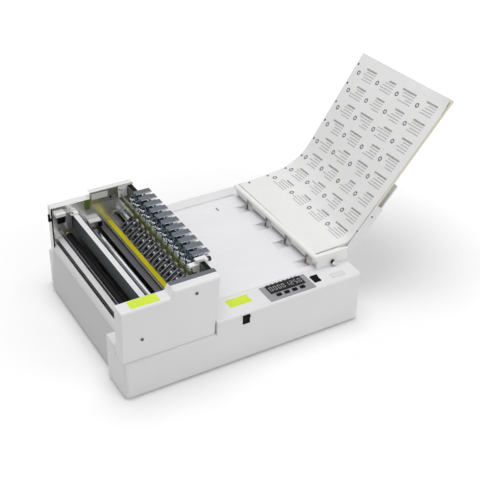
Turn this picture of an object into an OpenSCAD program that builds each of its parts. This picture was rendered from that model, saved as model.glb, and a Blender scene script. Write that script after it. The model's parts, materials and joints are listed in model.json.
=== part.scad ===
// Desk machine that slits sheets of label stock into stickers.
// X runs against the sheet's way, from the exit end to the feed tray, Y from front to back, Z up.
// Places are given from the exit end, the front face and the underside of the case.
// The finished model stands on its feet, with the origin under the middle of its box.

/* [Case] */
// Length of the case
case_l = 510; // [508:1:540]
// Depth of the case behind the sheets' rear edge
rear_strip = 44; // [38:1:74]
// Height of the deck
deck_z = 106; // [102:1:112]
// Height of the lower case round the cutter bay
ledge_z = 77; // [70:1:84]
// Height of the rear rim beside the deck
rim_h = 2.6; // [1:0.2:4]
// Distance of the rear rim from the back face
rim_in = 6; // [4:0.5:10]
// Wall of the mouldings
wall = 3; // [2:0.5:3.5]
// Radius of the upright corners
corner_r = 10; // [6:1:14]
// Radius of the long rounded edges
edge_r = 5; // [3:1:6]
// Width of the front pillar at the exit end
pillar_w = 78; // [70:1:86]
// How far the pillar's shoulder lies below the deck
pillar_drop = 10; // [6:1:16]
// How far the pillar's shoulder reaches inwards
pillar_l = 18; // [14:1:19]
// How far the exit end lies behind the pillar
recess = 10; // [8:1:14]
// How far the rear column at the exit end lies behind the pillar
rear_recess = 18; // [15:1:19]
// Thickness of the bottom plate
bottom_t = 2; // [1:0.5:3]
// Height of the feet
foot_h = 5; // [3:1:8]
// Diameter of the feet
foot_d = 22; // [16:1:28]
// Distance of the feet from the case's edges
foot_in = 38; // [30:1:50]

/* [Cutter bay] */
// Length of the front cover along its lower edge
cover_l = 184; // [180:1:188]
// Lean of the cover's right edge
cover_lean = 11; // [6:1:12]
// How far the front cover is set back from the case's front face
cover_in = 5; // [3:1:6]
// How far the rear cover is set back from the case's back face
rear_in = 10; // [8:1:11]
// Height of the covers' low top
low_top = 189; // [182:1:193]
// Height of the front cover's high top
high_top = 203; // [200:1:208]
// Place of the step between the two tops
step_x = 97; // [90:1:104]
// Length of the slope at the step
step_run = 6; // [3:1:9]
// Thickness of the steel side plates
plate_t = 1.5; // [1:0.5:2]
// Left edge of the side plates
plate_x0 = 20; // [18:1:21]
// Right edge of the side plates
plate_x1 = 198; // [197:1:200]
// Outer face of the front side plate
plate_y = 34.5; // [32:0.5:36]
// Room behind the rear side plate
rear_room = 25.5; // [24:0.5:28]
// Width of the side plates' top flanges
flange_w = 12; // [8:1:13]

/* [Exit] */
// Height of the chute's lower edge
chute_z = 3; // [3:1:12]
// Height of the chute's bevelled lip
lip_h = 11.5; // [8:0.5:14]
// Outward slope of the chute
chute_run = 8; // [5:1:9]
// Run of the bevelled lip
lip_run = 8; // [6:1:9]
// Drop of the bevelled lip below the deck
lip_drop = 1.5; // [1:0.5:3]
// Thickness of the chute
chute_t = 2.5; // [2:0.5:3]
// Place of the white exit guide bar
guide_x = 33; // [32:0.5:34]
// Width of the white exit guide bar
guide_w = 8; // [6:0.5:8.5]
// Height of the free way under the sheet guides
way_h = 4.5; // [4.3:0.1:5]

/* [Rollers] */
// Radius of the two driven lower rollers
roller_r = 10; // [8:0.5:10.5]
// Radius of the black upper exit roller
top_r = 9; // [7:0.5:9.5]
// Radius of the silver pinch roller
pinch_r = 6; // [5.5:0.5:7]
// Place of the exit rollers
exit_x = 54; // [53.5:0.5:56]
// Place of the drive and pinch rollers
nip_x = 110; // [108:1:111]
// Radius of the roller shafts
shaft_r = 4; // [3:0.5:4.5]
// Running clearance of shafts and pins
run_gap = 0.05; // [0.02:0.01:0.1]
// Gap in the roller nips
nip_gap = 0.4; // [0.3:0.1:0.6]
// Height of the lower rollers above the deck
proud = 0.5; // [0.3:0.1:0.8]
// Wall of the shaft bushes
bush_t = 2.5; // [2:0.25:2.5]
// Radius of the belt pulleys
pulley_r = 9; // [7:0.5:9.5]
// Width of the drive belt
belt_w = 8; // [6:1:9]
// Thickness of the drive belt
belt_t = 1.5; // [1:0.25:2]

/* [Cross pieces] */
// Left face of the cross beam
beam_x = 62; // [61:1:66]
// Width of the cross beam
beam_w = 11; // [8:1:13]
// Height of the cross beam's underside above the deck
beam_up = 28; // [26:1:32]
// Height of the cross beam
beam_h = 33; // [26:1:36]
// Left edge of the blade guard
guard_x = 137; // [136.5:0.5:138]
// Length of the blade guard
guard_l = 13; // [11:0.5:13.5]
// Height of the blade guard's upper edge above the deck
guard_up = 21; // [18:1:23]
// Fall of the blade guard along its length
guard_fall = 4.5; // [2:0.5:6]
// Left face of the cutting anvil
anvil_x = 141; // [138:1:144]
// Length of the cutting anvil
anvil_l = 27; // [22:1:28]
// Depth of the cutting anvil
anvil_h = 9; // [6:1:12]
// Radius of the stay rods
rod_r = 3.5; // [2.5:0.5:4]
// Place of the rod that the knife arms can rest on
rest_x = 175; // [173:0.5:177]
// Gap between the arms and their rest rod
rest_gap = 1; // [0.5:0.1:2]
// Place of the rear stay rod
stay_x = 189; // [187:0.5:192]
// Height of the rear stay rod above the deck
stay_up = 21; // [19:1:24]
// Left face of the scale bar
scale_x = 170; // [168:0.5:171]
// Height of the scale bar
scale_h = 9; // [6:1:12]
// Thickness of the scale bar
scale_t = 2.5; // [1.5:0.5:3]
// How far the scale bar's top lies below the heads' top plates
scale_drop = 22; // [19:1:26]

/* [Knife heads] */
// Number of knife heads
head_n = 11; // [3:1:11]
// Distance of the outer heads from the sheet's edges
head_in = 26; // [24:1:26]
// Width of a head
head_w = 16.5; // [16:0.5:20]
// Left edge of the heads' top plates
head_x = 184; // [183.5:0.5:185]
// Length of the heads' top plates
head_l = 34.5; // [30:0.5:36]
// Underside of the heads' top plates
head_z = 199; // [196:0.5:200]
// Thickness of the folded head bracket
head_t = 1.5; // [1:0.25:2]
// Clearance of the heads on their rail
slide_gap = 0.3; // [0.2:0.1:0.5]
// Width of the rail
rail_w = 10; // [8:0.5:11]
// Height of the arms' pivot above the deck
pivot_up = 42; // [40:0.5:44]
// Pivot's distance behind the head's left edge
pivot_in = 3; // [2.5:0.5:3.5]
// Radius of the pivot pin
pin_r = 2; // [1.5:0.25:2.25]
// Radius of the arm's hub
hub_r = 4.5; // [4:0.25:4.75]
// Length of a knife arm
arm_l = 42; // [40:0.5:42.5]
// Width of a knife arm
arm_w = 14.5; // [13.5:0.5:15.5]
// Slope of a knife arm in degrees
arm_slope = 35; // [33:1:36]
// Thickness of the arm's plate
arm_t = 2.4; // [1.5:0.1:2.6]
// Height of the arm's side flanges
arm_flange = 2.4; // [1:0.2:4]
// Gap between the blade's tip and the anvil
tip_gap = 0.4; // [0.3:0.1:0.6]
// Lift of a knife arm in degrees
arm_lift = 8; // [4:1:8]

/* [Controls] */
// Distance of the control panel from the gate wall
panel_gap = 33; // [31:1:48]
// Length of the control panel
panel_l = 101; // [96:1:103]
// Width of the control panel
panel_w = 47; // [44:1:50]
// Distance of the control panel from the front face
panel_in = 6; // [6:0.5:8]
// Thickness of the control panel
panel_t = 1.2; // [0.8:0.1:1.6]
// Length of the display window
display_l = 78; // [70:1:84]
// Width of the display window
display_w = 25; // [20:1:26]
// Pitch of the buttons
button_pitch = 17.5; // [14:0.5:19]
// Length of a button
button_l = 10; // [7:0.5:11]
// Width of a button
button_w = 7; // [5:0.5:8]
// Travel of a button
button_travel = 1; // [0.5:0.1:1.5]
// Clearance round buttons and rockers
key_gap = 0.3; // [0.2:0.05:0.5]
// Length of a rocker
rocker_l = 20.4; // [18:0.2:21]
// Width of a rocker
rocker_w = 14.6; // [12:0.2:15]
// Tilt of a rocker in degrees
rocker_tilt = 8; // [5:0.5:9]
// Distance of the control strip's rocker from the gate wall
rocker_gap = 20; // [16:1:22]
// Place of the rocker in the front face
front_rocker_x = 248; // [215:1:290]
// How far the rocker in the front face lies below the deck
front_rocker_drop = 15; // [15:1:24]

/* [Feed] */
// Width of the label sheets
sheet_w = 297; // [294:1:300]
// Length of the label sheets
sheet_l = 420; // [400:1:440]
// Thickness of the stack of sheets
stack_t = 7; // [3:0.5:9]
// Distance of the sheets' front edge from the front face
sheet_in = 69; // [67:0.5:70]
// Length of the case behind the gate wall
feed_l = 70; // [69:0.5:72]
// Height of the gate wall's top above the deck
gate_h = 29; // [26:0.5:31]
// Height of the way under the gate wall
gate_way = 5.5; // [5:0.1:6]
// Radius of the gate wall's rolled top edge
gate_roll = 5; // [3:0.5:6]
// Length of the wheel pockets in the deck, before the gate wall
pocket_l = 30; // [20:1:34]
// How far the wheel pockets' tongues fall
pocket_drop = 10; // [6:0.5:12]
// Wall of the feed tray
tray_t = 3; // [2:0.25:3]
// Height of the tray's floor above the deck
floor_up = 20; // [19:0.2:21]
// Radius of the feed wheels
wheel_r = 30; // [28:0.5:30.5]
// Width of a feed wheel
wheel_w = 22; // [16:1:26]
// Number of feed wheels
wheel_n = 4; // [2:1:4]
// First feed wheel's distance from the sheet's front edge
wheel_in = 17; // [16:0.5:20]
// Last feed wheel's distance from the sheet's rear edge
wheel_out = 49; // [40:1:56]
// Radius of the feed shaft
feed_r = 3; // [2.5:0.25:3.5]
// Slope of the tray's back support in degrees
support_a = 50; // [48:1:52]
// Length of the tray's back support
support_l = 140; // [100:1:150]
// Width of the tray's back support
support_w = 118; // [80:1:120]
// Length of the side guide
side_guide_l = 106; // [90:1:120]
// Thickness of the side guide
side_guide_t = 2.5; // [1.5:0.5:3]
// Radius of the tray's knob
knob_r = 4.5; // [3.5:0.25:6]

/* [Hidden] */
$fn = 48;
seat = 0.3;
case_w = sheet_in + sheet_w + rear_strip;
gate_x = case_l - feed_l;
side_in = plate_y + plate_t;
side_out = case_w - rear_room - plate_t;
bay_cut = cover_l + cover_lean * (deck_z - ledge_z) / (high_top - ledge_z) + seat;
plate_top = high_top - 1;
plate_low = low_top - 1;
roof_z = deck_z - wall;
column_y = side_out + plate_t + seat;
pillar_z = deck_z - pillar_drop;
shoulder_y = side_in + 5;
lip_top = deck_z - lip_drop;
lip_z = lip_top - lip_h;
// Cover screws: the low one from the exit end and the ledge, the high one from the step and the top
screw_in = 38;
screw_up = 44;
screw_step = 50;
screw_drop = 20;
rear_drop = 20;
screw_head_r = 3;
screw_head_h = 1.8;
thread_r = 1.5;

// Sheet's way and rollers
sheet_z = deck_z + proud;
low_z = sheet_z - roller_r;
top_z = sheet_z + nip_gap + top_r;
pinch_z = sheet_z + nip_gap + pinch_r;
way_z = deck_z + way_h;
bush_r = shaft_r + bush_t;
bush_flange = bush_r + 1;
belt_y = (plate_y + cover_in + wall) / 2 - belt_w / 2;
end_gap = 4;
beam_z = deck_z + beam_up;
guide_t = 1.5;
guide_h = 5;

// Knife heads
head_y = sheet_in + head_in;
head_pitch = (sheet_w - 2 * head_in) / (head_n - 1);
head_play = (head_pitch - head_w) / 2 - slide_gap;
pivot_x = head_x + pivot_in;
pivot_z = deck_z + pivot_up;
ear_y = arm_w / 2 - 1;
ear_t = 1.5;
ear_z1 = pivot_z + hub_r + 4;
rail_x = head_x + head_t + slide_gap;
rail_z0 = ear_z1 + 2;
rail_z1 = head_z - slide_gap;
leg_x = rail_x + rail_w + 8;
leg_h = 28;
screw_z = head_z - 13;
screw_r = 2;
clamp_r = 4.8;
plunger_x = head_x - 5;
barrel_r = 4;
barrel_z0 = ear_z1 + 2;
barrel_z1 = head_z - 7;
stop_y = head_y - head_w / 2 - 5;
stop_w = 15;
stop_h = 26;
anvil_up = 0.2;
tip_z = deck_z + anvil_up + tip_gap;
// Height of an arm's middle and of its upper face at a place along the machine
function arm_z(x) = pivot_z - (pivot_x - x) * tan(arm_slope);
function arm_top(x) = arm_z(x) + arm_t / 2 / cos(arm_slope);
holder_x = pivot_x - arm_l * cos(arm_slope) + 3;
holder_l = 6;
holder_h = 13;
rest_z = arm_z(rest_x) - (arm_t / 2 + rest_gap + rod_r) / cos(arm_slope);
// The plunger's rod ends above the arm's highest place
rod_end = arm_top(plunger_x) + (pivot_x - plunger_x) * tan(arm_lift) + 1.5;

// Controls
panel_x = gate_x - panel_gap - panel_l;
rocker_x = gate_x - rocker_gap;
button_x = panel_x + panel_l / 2 - 1.5 * button_pitch;
button_y = panel_in + 12;
button_up = 2;
display_y = panel_in + 20;
rocker_y = panel_in + panel_w / 2;
rocker_r = rocker_l / 2;
rocker_h = wall + 3.2;
rocker_mid = wall + 0.6;
rocker_low = 4;
// Corner where a rocker's sloping face meets its round end, and how far it stands out of the wall
rocker_m = (rocker_h - rocker_mid) / rocker_r;
rocker_k = 1 + rocker_m * rocker_m;
rocker_root = sqrt(rocker_k * rocker_r * rocker_r - rocker_mid * rocker_mid);
rocker_u = (rocker_root - rocker_mid * rocker_m) / rocker_k;
rocker_v = rocker_mid + rocker_m * rocker_u;
rocker_reach = rocker_u * sin(rocker_tilt) + rocker_v * cos(rocker_tilt) - wall;
front_rocker_z = deck_z - front_rocker_drop;
switch_h = 16;
switch_wall = 1.5;
inlet_in = 52;
inlet_l = 28;
inlet_h = 22;
inlet_t = 14;
inlet_wall = 3;
inlet_x = case_l - inlet_in - inlet_l;
inlet_z = 40;

// Feed
wheel_pitch = (sheet_w - wheel_in - wheel_out) / (wheel_n - 1);
cheek_f = sheet_in - 5;
cheek_r = sheet_in + sheet_w + 4;
open_y0 = cheek_f - tray_t - 1;
open_y1 = cheek_r + tray_t + 1;
rib_gap = 30;
sensor_gap = 63;
sensor_in = 16;
sensor_l = 14;
sensor_w = 3;
// Main board on pillars, and power supply behind it
board_l = 130;
board_w = 120;
board_t = 1.6;
board_up = 6;
board_x = panel_x - 36;
board_y = open_y0 + 50;
pillar_in = 6;
pillar_r = 3;
supply_gap = 30;
supply_w = 80;
supply_h = 38;
ramp_x = gate_x + 6;
ramp_l = 24;
floor_z = deck_z + floor_up;
feed_x = gate_x + wheel_r + 2;
feed_z = floor_z + seat - wheel_r;
pocket_x = gate_x - pocket_l;
pocket_w = wheel_w + 4;
gate_z = deck_z + gate_h;
open_x1 = feed_x + wheel_r + 2;
motor = [40, rear_room - rear_in - wall - 2 * seat, 46];
motor_up = roof_z - seat - feed_z;
can_r = 13;
can_l = 30;
can_drop = motor[2] - motor_up - can_r - 1;
block_y = cheek_f - tray_t - 6;
block_x1 = open_x1 + 8;
knob_x = feed_x + 4;
knob_z = deck_z + 7.5;

// Stack of sheets: start of the top sheet, flat length, first slope, bend radius and last slope
stack_x = gate_x + tray_t + 0.5;
front_edge = [stack_x, floor_z + stack_t + 0.4, 62, 2, 42, support_a];
rear_edge = [stack_x, floor_z + stack_t + 3.4, 95, 6, 115, support_a + 6];
stack_n = 24;
function bend_l(e) = e[4] * (e[5] - e[3]) * PI / 180;
function slope_at(e, s) = s < e[2] ? e[3] : min(e[5], e[3] + (s - e[2]) / e[4] * 180 / PI);
function flat_at(e, s) = min(s, e[2]);
function last_at(e, s) = max(0, s - e[2] - bend_l(e));
function edge_x(e, s) = e[0] + flat_at(e, s) * cos(e[3])
    + e[4] * (sin(slope_at(e, s)) - sin(e[3])) + last_at(e, s) * cos(e[5]);
function edge_z(e, s) = e[1] + flat_at(e, s) * sin(e[3])
    + e[4] * (cos(e[3]) - cos(slope_at(e, s))) + last_at(e, s) * sin(e[5]);
function under_x(e, s) = edge_x(e, s) + stack_t * sin(slope_at(e, s));
function under_z(e, s) = edge_z(e, s) - stack_t * cos(slope_at(e, s));
stack_s = [for (i = [0 : stack_n]) sheet_l * i / stack_n];

// Back support: a plane that lies just under the stack as far back as the support reaches
support_y0 = sheet_in + 3;
support_f = (support_y0 + support_w - sheet_in) / sheet_w;
function mix(f, a, b) = (1 - f) * a + f * b;
function under_c(f, s) = mix(f, under_z(front_edge, s), under_z(rear_edge, s))
    - tan(support_a) * mix(f, under_x(front_edge, s), under_x(rear_edge, s));
support_c = min([for (s = stack_s) for (f = [0, support_f]) under_c(f, s)]) - seat / cos(support_a);
support_x = (floor_z - support_c) / tan(support_a);
stack_x1 = max(under_x(front_edge, sheet_l), under_x(rear_edge, sheet_l));
guide_y = sheet_in - 4;
guide_u = -20;
// Top of the stack's front edge above the support
guide_top = (under_c(0, sheet_l) - support_c) * cos(support_a) + stack_t;

// Middle of the model's box
middle = [stack_x1 / 2, (case_w - rocker_reach) / 2];

heads = [for (i = [1 : head_n]) i];
buttons = [1, 2, 3, 4];

// Shapes that repeat
module block(a, b) translate(a) cube(b - a);
module xz(y0, y1) translate([0, y1, 0]) rotate([90, 0, 0]) linear_extrude(y1 - y0) children();
module yz(x0, x1) translate([x0, 0, 0]) rotate([90, 0, 90]) linear_extrude(x1 - x0) children();
module bar_y(x, z, r, y0, y1) translate([x, y0, z]) rotate([-90, 0, 0]) cylinder(r = r, h = y1 - y0);
module bar_x(y, z, r, x0, x1) translate([x0, y, z]) rotate([0, 90, 0]) cylinder(r = r, h = x1 - x0);
module at_machine() translate([-middle[0], -middle[1], foot_h]) children();

module rounded(x0, y0, x1, y1, r) {
    translate([x0 + r, y0]) square([x1 - x0 - 2 * r, y1 - y0]);
    translate([x0, y0 + r]) square([x1 - x0, y1 - y0 - 2 * r]);
    for (x = [x0 + r, x1 - r], y = [y0 + r, y1 - r]) translate([x, y]) circle(r);
}

module edge_round(y, z) difference() {
    translate([y - 1, z - edge_r]) square(edge_r + 1);
    translate([y + edge_r, z - edge_r]) circle(edge_r);
}

module case_outline(inset) difference() {
    rounded(inset, inset, case_l - inset, case_w - inset, corner_r - inset);
    translate([-1, pillar_w - inset]) square([recess + inset + 1, case_w]);
    translate([-1, column_y - inset]) square([rear_recess + inset + 1, case_w]);
}

// Case
module button_at(i) translate([button_x + (i - 1) * button_pitch, button_y, 0]) children();
module button_holes(z0, z1) for (i = buttons) button_at(i)
    block([-button_l / 2 - key_gap, -button_w / 2 - key_gap, z0],
          [button_l / 2 + key_gap, button_w / 2 + key_gap, z1]);

// A rocker's frame: X along its pin, Y along its length, Z out of the wall, pin at the wall's inside
module strip_rocker_at() translate([rocker_x, rocker_y, roof_z]) children();
module front_rocker_at() translate([front_rocker_x, wall, front_rocker_z]) rotate([90, 0, 0]) children();
module rocker_hole() block([-rocker_w / 2 - key_gap, -rocker_r - key_gap, -1],
                           [rocker_w / 2 + key_gap, rocker_r + key_gap, wall + 1]);

module inlet_body(gap) block([inlet_x - gap, case_w - inlet_t, inlet_z - gap],
                             [inlet_x + inlet_l + gap, case_w, inlet_z + inlet_h + gap]);

module main_case() color("whitesmoke") difference() {
    union() {
        difference() {
            linear_extrude(deck_z) case_outline(0);
            translate([0, 0, -1]) linear_extrude(roof_z + 1) case_outline(wall);
            block([-1, -1, ledge_z], [bay_cut, case_w + 1, deck_z + 1]);
            block([recess - 1, pillar_w, -1], [rear_recess + wall + 1, column_y, deck_z]);
        }
        // Ledges under the covers
        translate([0, 0, ledge_z - wall]) linear_extrude(wall) intersection() {
            case_outline(0);
            square([bay_cut, cover_in + wall]);
        }
        translate([0, 0, ledge_z - wall]) linear_extrude(wall) intersection() {
            case_outline(0);
            translate([0, case_w - rear_in - wall]) square([bay_cut, rear_in + wall]);
        }
        // Shoulder of the front pillar
        difference() {
            block([0, shoulder_y, ledge_z - wall], [pillar_l, pillar_w, pillar_z]);
            block([wall, shoulder_y + wall, ledge_z - wall - 1],
                  [pillar_l - wall, pillar_w - wall, pillar_z - wall]);
        }
        // Rear rim
        block([plate_x1 + 2 * rim_in, open_y1 + wall, roof_z + 1],
              [gate_x - wall, case_w - rim_in, deck_z + rim_h]);
        // Flanges under the deck plate's edges
        for (y = [open_y0 - wall, open_y1 - 2 * wall])
            block([plate_x1 + 2, y, roof_z - wall], [gate_x, y + 3 * wall, roof_z]);
    }
    // Opening for the deck and the tray
    block([bay_cut - 1, open_y0, roof_z - 0.01], [open_x1, open_y1, deck_z + 1]);
    // Slots for the side plates
    for (y = [plate_y, side_out])
        block([bay_cut - 1, y - seat, roof_z - 1], [plate_x1 + seat, y + plate_t + seat, deck_z + 1]);
    button_holes(roof_z - 1, deck_z + 1);
    strip_rocker_at() rocker_hole();
    front_rocker_at() rocker_hole();
    inlet_body(seat);
    yz(-1, bay_cut) edge_round(0, ledge_z);
    yz(bay_cut, case_l + 1) edge_round(0, deck_z);
}

module bottom_plate() color("dimgray") linear_extrude(bottom_t) case_outline(wall + seat / 2);

module rubber_feet() color("black")
    for (x = [foot_in, case_l - foot_in], y = [foot_in, case_w - foot_in])
        translate([x, y, -foot_h]) cylinder(d = foot_d, h = foot_h);

module deck_plate() color("white") {
    difference() {
        union() {
            block([anvil_x + anvil_l + seat, open_y0 + seat, roof_z], [ramp_x - 1, open_y1 - seat, deck_z]);
            // Low ribs that the sheets slide on
            for (i = [0 : wheel_n])
                let (y = sheet_in + wheel_in + (i - 0.5) * wheel_pitch)
                if (y > open_y0 + 5 && y < open_y1 - 5)
                    block([plate_x1 + rib_gap - 8, y - 2, deck_z], [gate_x - rib_gap, y + 2, deck_z + 0.4]);
        }
        feed_wheels_at()
            block([pocket_x, -pocket_w / 2, roof_z - 1], [ramp_x, pocket_w / 2, deck_z + 1]);
        translate([gate_x - sensor_gap, sheet_in + sheet_w - sensor_in, 0])
            block([-sensor_w, -sensor_l, roof_z - 1], [0, 0, deck_z + 1]);
    }
    // Tongues that fall towards the wheels
    feed_wheels_at() xz(-pocket_w / 2, pocket_w / 2) polygon([
        [pocket_x - 1, deck_z], [pocket_x, deck_z], [gate_x, deck_z - pocket_drop],
        [gate_x, deck_z - pocket_drop - wall], [pocket_x, roof_z], [pocket_x - 1, roof_z]]);
}

// Covers
module cover_outline(inset) polygon([
    [inset, ledge_z - (inset > 0 ? 1 : 0)],
    [cover_l - inset, ledge_z - (inset > 0 ? 1 : 0)],
    [cover_l + cover_lean - inset * 1.05, high_top - inset],
    [step_x + step_run + inset * 0.3, high_top - inset],
    [step_x + inset * 0.3, low_top - inset],
    [inset, low_top - inset]]);

module cover_screws_at() {
    translate([screw_in, 0, ledge_z + screw_up]) children();
    translate([step_x + screw_step, 0, high_top - screw_drop]) children();
}

module front_cover() color("white") difference() {
    xz(cover_in, plate_y - seat) cover_outline(0);
    xz(cover_in + wall, plate_y + 1) cover_outline(wall);
    // Room for the side plate's flange
    block([step_x + step_run - 1, plate_y + plate_t - flange_w - seat, plate_top - plate_t - seat],
          [cover_l + cover_lean + 1, plate_y + 1, high_top + 1]);
    yz(-1, step_x) edge_round(cover_in, low_top);
    yz(step_x + step_run, cover_l + cover_lean + 1) edge_round(cover_in, high_top);
    cover_screws_at() bar_y(0, 0, thread_r + 0.1, cover_in - 1, cover_in + wall + 1);
}

module rear_cover() color("white") difference() {
    block([plate_x0, column_y, ledge_z], [cover_l, case_w - rear_in, low_top]);
    block([plate_x0 + wall, side_out, ledge_z - 1],
          [cover_l - wall, case_w - rear_in - wall, low_top - wall]);
    cover_screws_at() bar_y(0, -rear_drop, thread_r + 0.1, case_w - rear_in - wall - 1, case_w);
}

module exit_chute() color("lightgray") xz(pillar_w + seat, side_out - seat) polygon([
    [recess, chute_z],
    [recess + chute_run, lip_z],
    [recess + chute_run + lip_run, lip_top],
    [recess + chute_run + lip_run + chute_t, lip_top - chute_t],
    [recess + chute_run + chute_t, lip_z - 1],
    [recess + chute_t, chute_z]]);

// Side plates
module plate_outline() polygon([
    [plate_x0, bottom_t], [plate_x1, bottom_t], [plate_x1, plate_top],
    [step_x + step_run + 1, plate_top], [step_x + step_run + 1, plate_low], [plate_x0, plate_low]]);

module rollers_at(y0, y1, r) {
    for (z = [low_z, top_z]) bar_y(exit_x, z, r, y0, y1);
    for (z = [low_z, pinch_z]) bar_y(nip_x, z, r, y0, y1);
}

module side_plate(y) difference() {
    xz(y, y + plate_t) plate_outline();
    rollers_at(y - 1, y + plate_t + 1, bush_r + run_gap);
}

module flange(y0, y1) block([step_x + step_run + 1, y0, plate_top - plate_t], [plate_x1, y1, plate_top]);

module front_side_plate() color("silver") {
    side_plate(plate_y);
    flange(side_in - flange_w, side_in);
}

module rear_side_plate() color("silver") {
    difference() {
        side_plate(side_out);
        bar_y(nip_x, low_z - can_drop, can_r + seat, side_out - 1, side_out + plate_t + 1);
    }
    flange(side_out, side_out + flange_w);
}

// Cross pieces between the side plates
module cross(x0, z0, x1, z1) block([x0, side_in, z0], [x1, side_out, z1]);

module sheet_guides() color("gainsboro") {
    cross(guide_x, way_z, guide_x + guide_w, way_z + guide_h);
    cross(exit_x - top_r - 2, way_z, exit_x - top_r - 1, way_z + 2.4 * guide_h);
    cross(nip_x - pinch_r - 20, way_z, nip_x - pinch_r - 6, way_z + guide_t);
    cross(nip_x + pinch_r + 5, way_z + 7, guard_x - 3, way_z + 7 + guide_t);
    cross(guard_x - 3, way_z, guard_x - 3 + guide_t, way_z + 3 * guide_h);
}

module cross_beam() color("silver") cross(beam_x, beam_z, beam_x + beam_w, beam_z + beam_h);

module blade_guard() color("gold") xz(side_in, side_out) polygon([
    [guard_x, deck_z + guard_up], [guard_x + guard_l, deck_z + guard_up - guard_fall],
    [guard_x + guard_l, deck_z + guard_up - guard_fall - 2], [guard_x, deck_z + guard_up - 2]]);

module cutting_anvil() color("gray")
    cross(anvil_x, deck_z + anvil_up - anvil_h, anvil_x + anvil_l, deck_z + anvil_up);

module stay_rods() color("silver") {
    bar_y(rest_x, rest_z, rod_r, side_in, side_out);
    bar_y(stay_x, deck_z + stay_up, rod_r, side_in, side_out);
}

module head_rail() color("slategray") cross(rail_x, rail_z0, rail_x + rail_w, rail_z1);

module scale_bar() {
    color("olivedrab") cross(scale_x, head_z - scale_drop - scale_h, scale_x + scale_t, head_z - scale_drop);
    // White end stop on the rail
    color("white") difference() {
        block([head_x - 1, stop_y - stop_w, rail_z1 - stop_h], [leg_x, stop_y, head_z + 2]);
        block([rail_x - slide_gap, side_in, rail_z0], [rail_x + rail_w + slide_gap, side_out, head_z]);
    }
}

// Rollers and drive
module shaft(x, z, r, y0, y1) {
    bar_y(x, z, r, side_in + end_gap, side_out - end_gap);
    bar_y(x, z, shaft_r, y0, y1);
}

module upper_exit_roller() color("black") shaft(exit_x, top_z, top_r, plate_y - 2, side_out + plate_t + 2);

module lower_exit_roller() color("black") {
    shaft(exit_x, low_z, roller_r, belt_y - 2, side_out + plate_t + 2);
    bar_y(exit_x, low_z, pulley_r, belt_y, belt_y + belt_w);
}

module pinch_roller() color("silver") shaft(nip_x, pinch_z, pinch_r, plate_y - 2, side_out + plate_t + 2);

module drive_roller() color("dimgray") {
    shaft(nip_x, low_z, roller_r, belt_y - 2, side_out + plate_t + motor[1]);
    bar_y(nip_x, low_z, pulley_r, belt_y, belt_y + belt_w);
}

module bearings() color("peru") difference() {
    for (s = [[plate_y, 0], [side_out, -1]]) {
        rollers_at(s[0], s[0] + plate_t, bush_r);
        rollers_at(s[0] + (s[1] < 0 ? -2 : plate_t), s[0] + (s[1] < 0 ? 0 : plate_t + 2), bush_flange);
    }
    rollers_at(0, case_w, shaft_r + run_gap);
}

module belt_loop(r) {
    for (x = [exit_x, nip_x]) translate([x, low_z]) circle(r);
    translate([exit_x, low_z - r]) square([nip_x - exit_x, 2 * r]);
}

module drive_belt() color("black") xz(belt_y, belt_y + belt_w) difference() {
    belt_loop(pulley_r + seat + belt_t);
    belt_loop(pulley_r + seat);
}

// A gearbox whose bore holds the driven shaft near its top, with the motor's can beside the shaft
module gear_motor(x, y, z, r) difference() {
    union() {
        block([x - motor[0] / 2, y, z + motor_up - motor[2]], [x + motor[0] / 2, y + motor[1], z + motor_up]);
        bar_y(x, z - can_drop, can_r, y - can_l, y);
    }
    bar_y(x, z, r + run_gap, y - 1, y + motor[1] + 1);
}

module gear_motors() color("darkgray") {
    gear_motor(nip_x, side_out + plate_t + seat, low_z, shaft_r);
    gear_motor(feed_x, cheek_r + tray_t + seat, feed_z, feed_r);
}

// Knife heads
module head_at(i) translate([0, head_y + (i - 1) * head_pitch, 0]) children();

module knife_head(i) color("lightslategray") head_at(i) {
    h = head_w / 2;
    block([head_x, -h, head_z], [head_x + head_l, h, head_z + head_t]);
    block([head_x, -ear_y - ear_t, pivot_z + hub_r + 1.5], [head_x + head_t, ear_y + ear_t, head_z]);
    block([leg_x, -h + 3, head_z - leg_h], [leg_x + head_t, h - 3, head_z]);
    // Ears and pin for the arm
    for (s = [-1, 1]) translate([0, s * (ear_y + ear_t / 2), 0])
        block([head_x - 3, -ear_t / 2, pivot_z - hub_r], [pivot_x + hub_r, ear_t / 2, ear_z1]);
    bar_y(pivot_x, pivot_z, pin_r, -ear_y - ear_t, ear_y + ear_t);
    // Pressure plunger on its tab
    block([plunger_x - 5, -5, barrel_z1 - 4], [head_x, 5, barrel_z1 - 4 + head_t]);
    translate([plunger_x, 0, barrel_z0]) cylinder(r = barrel_r, h = barrel_z1 - barrel_z0);
    translate([plunger_x, 0, barrel_z1]) cylinder(r = barrel_r + 0.6, h = 4, $fn = 6);
    translate([plunger_x, 0, rod_end]) cylinder(r = 1.5, h = barrel_z0 - rod_end);
    // Clamp screw and knob
    bar_x(0, screw_z, screw_r, rail_x + rail_w + slide_gap, leg_x + head_t);
    bar_x(0, screw_z, clamp_r, leg_x + head_t, head_x + head_l);
}

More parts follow.
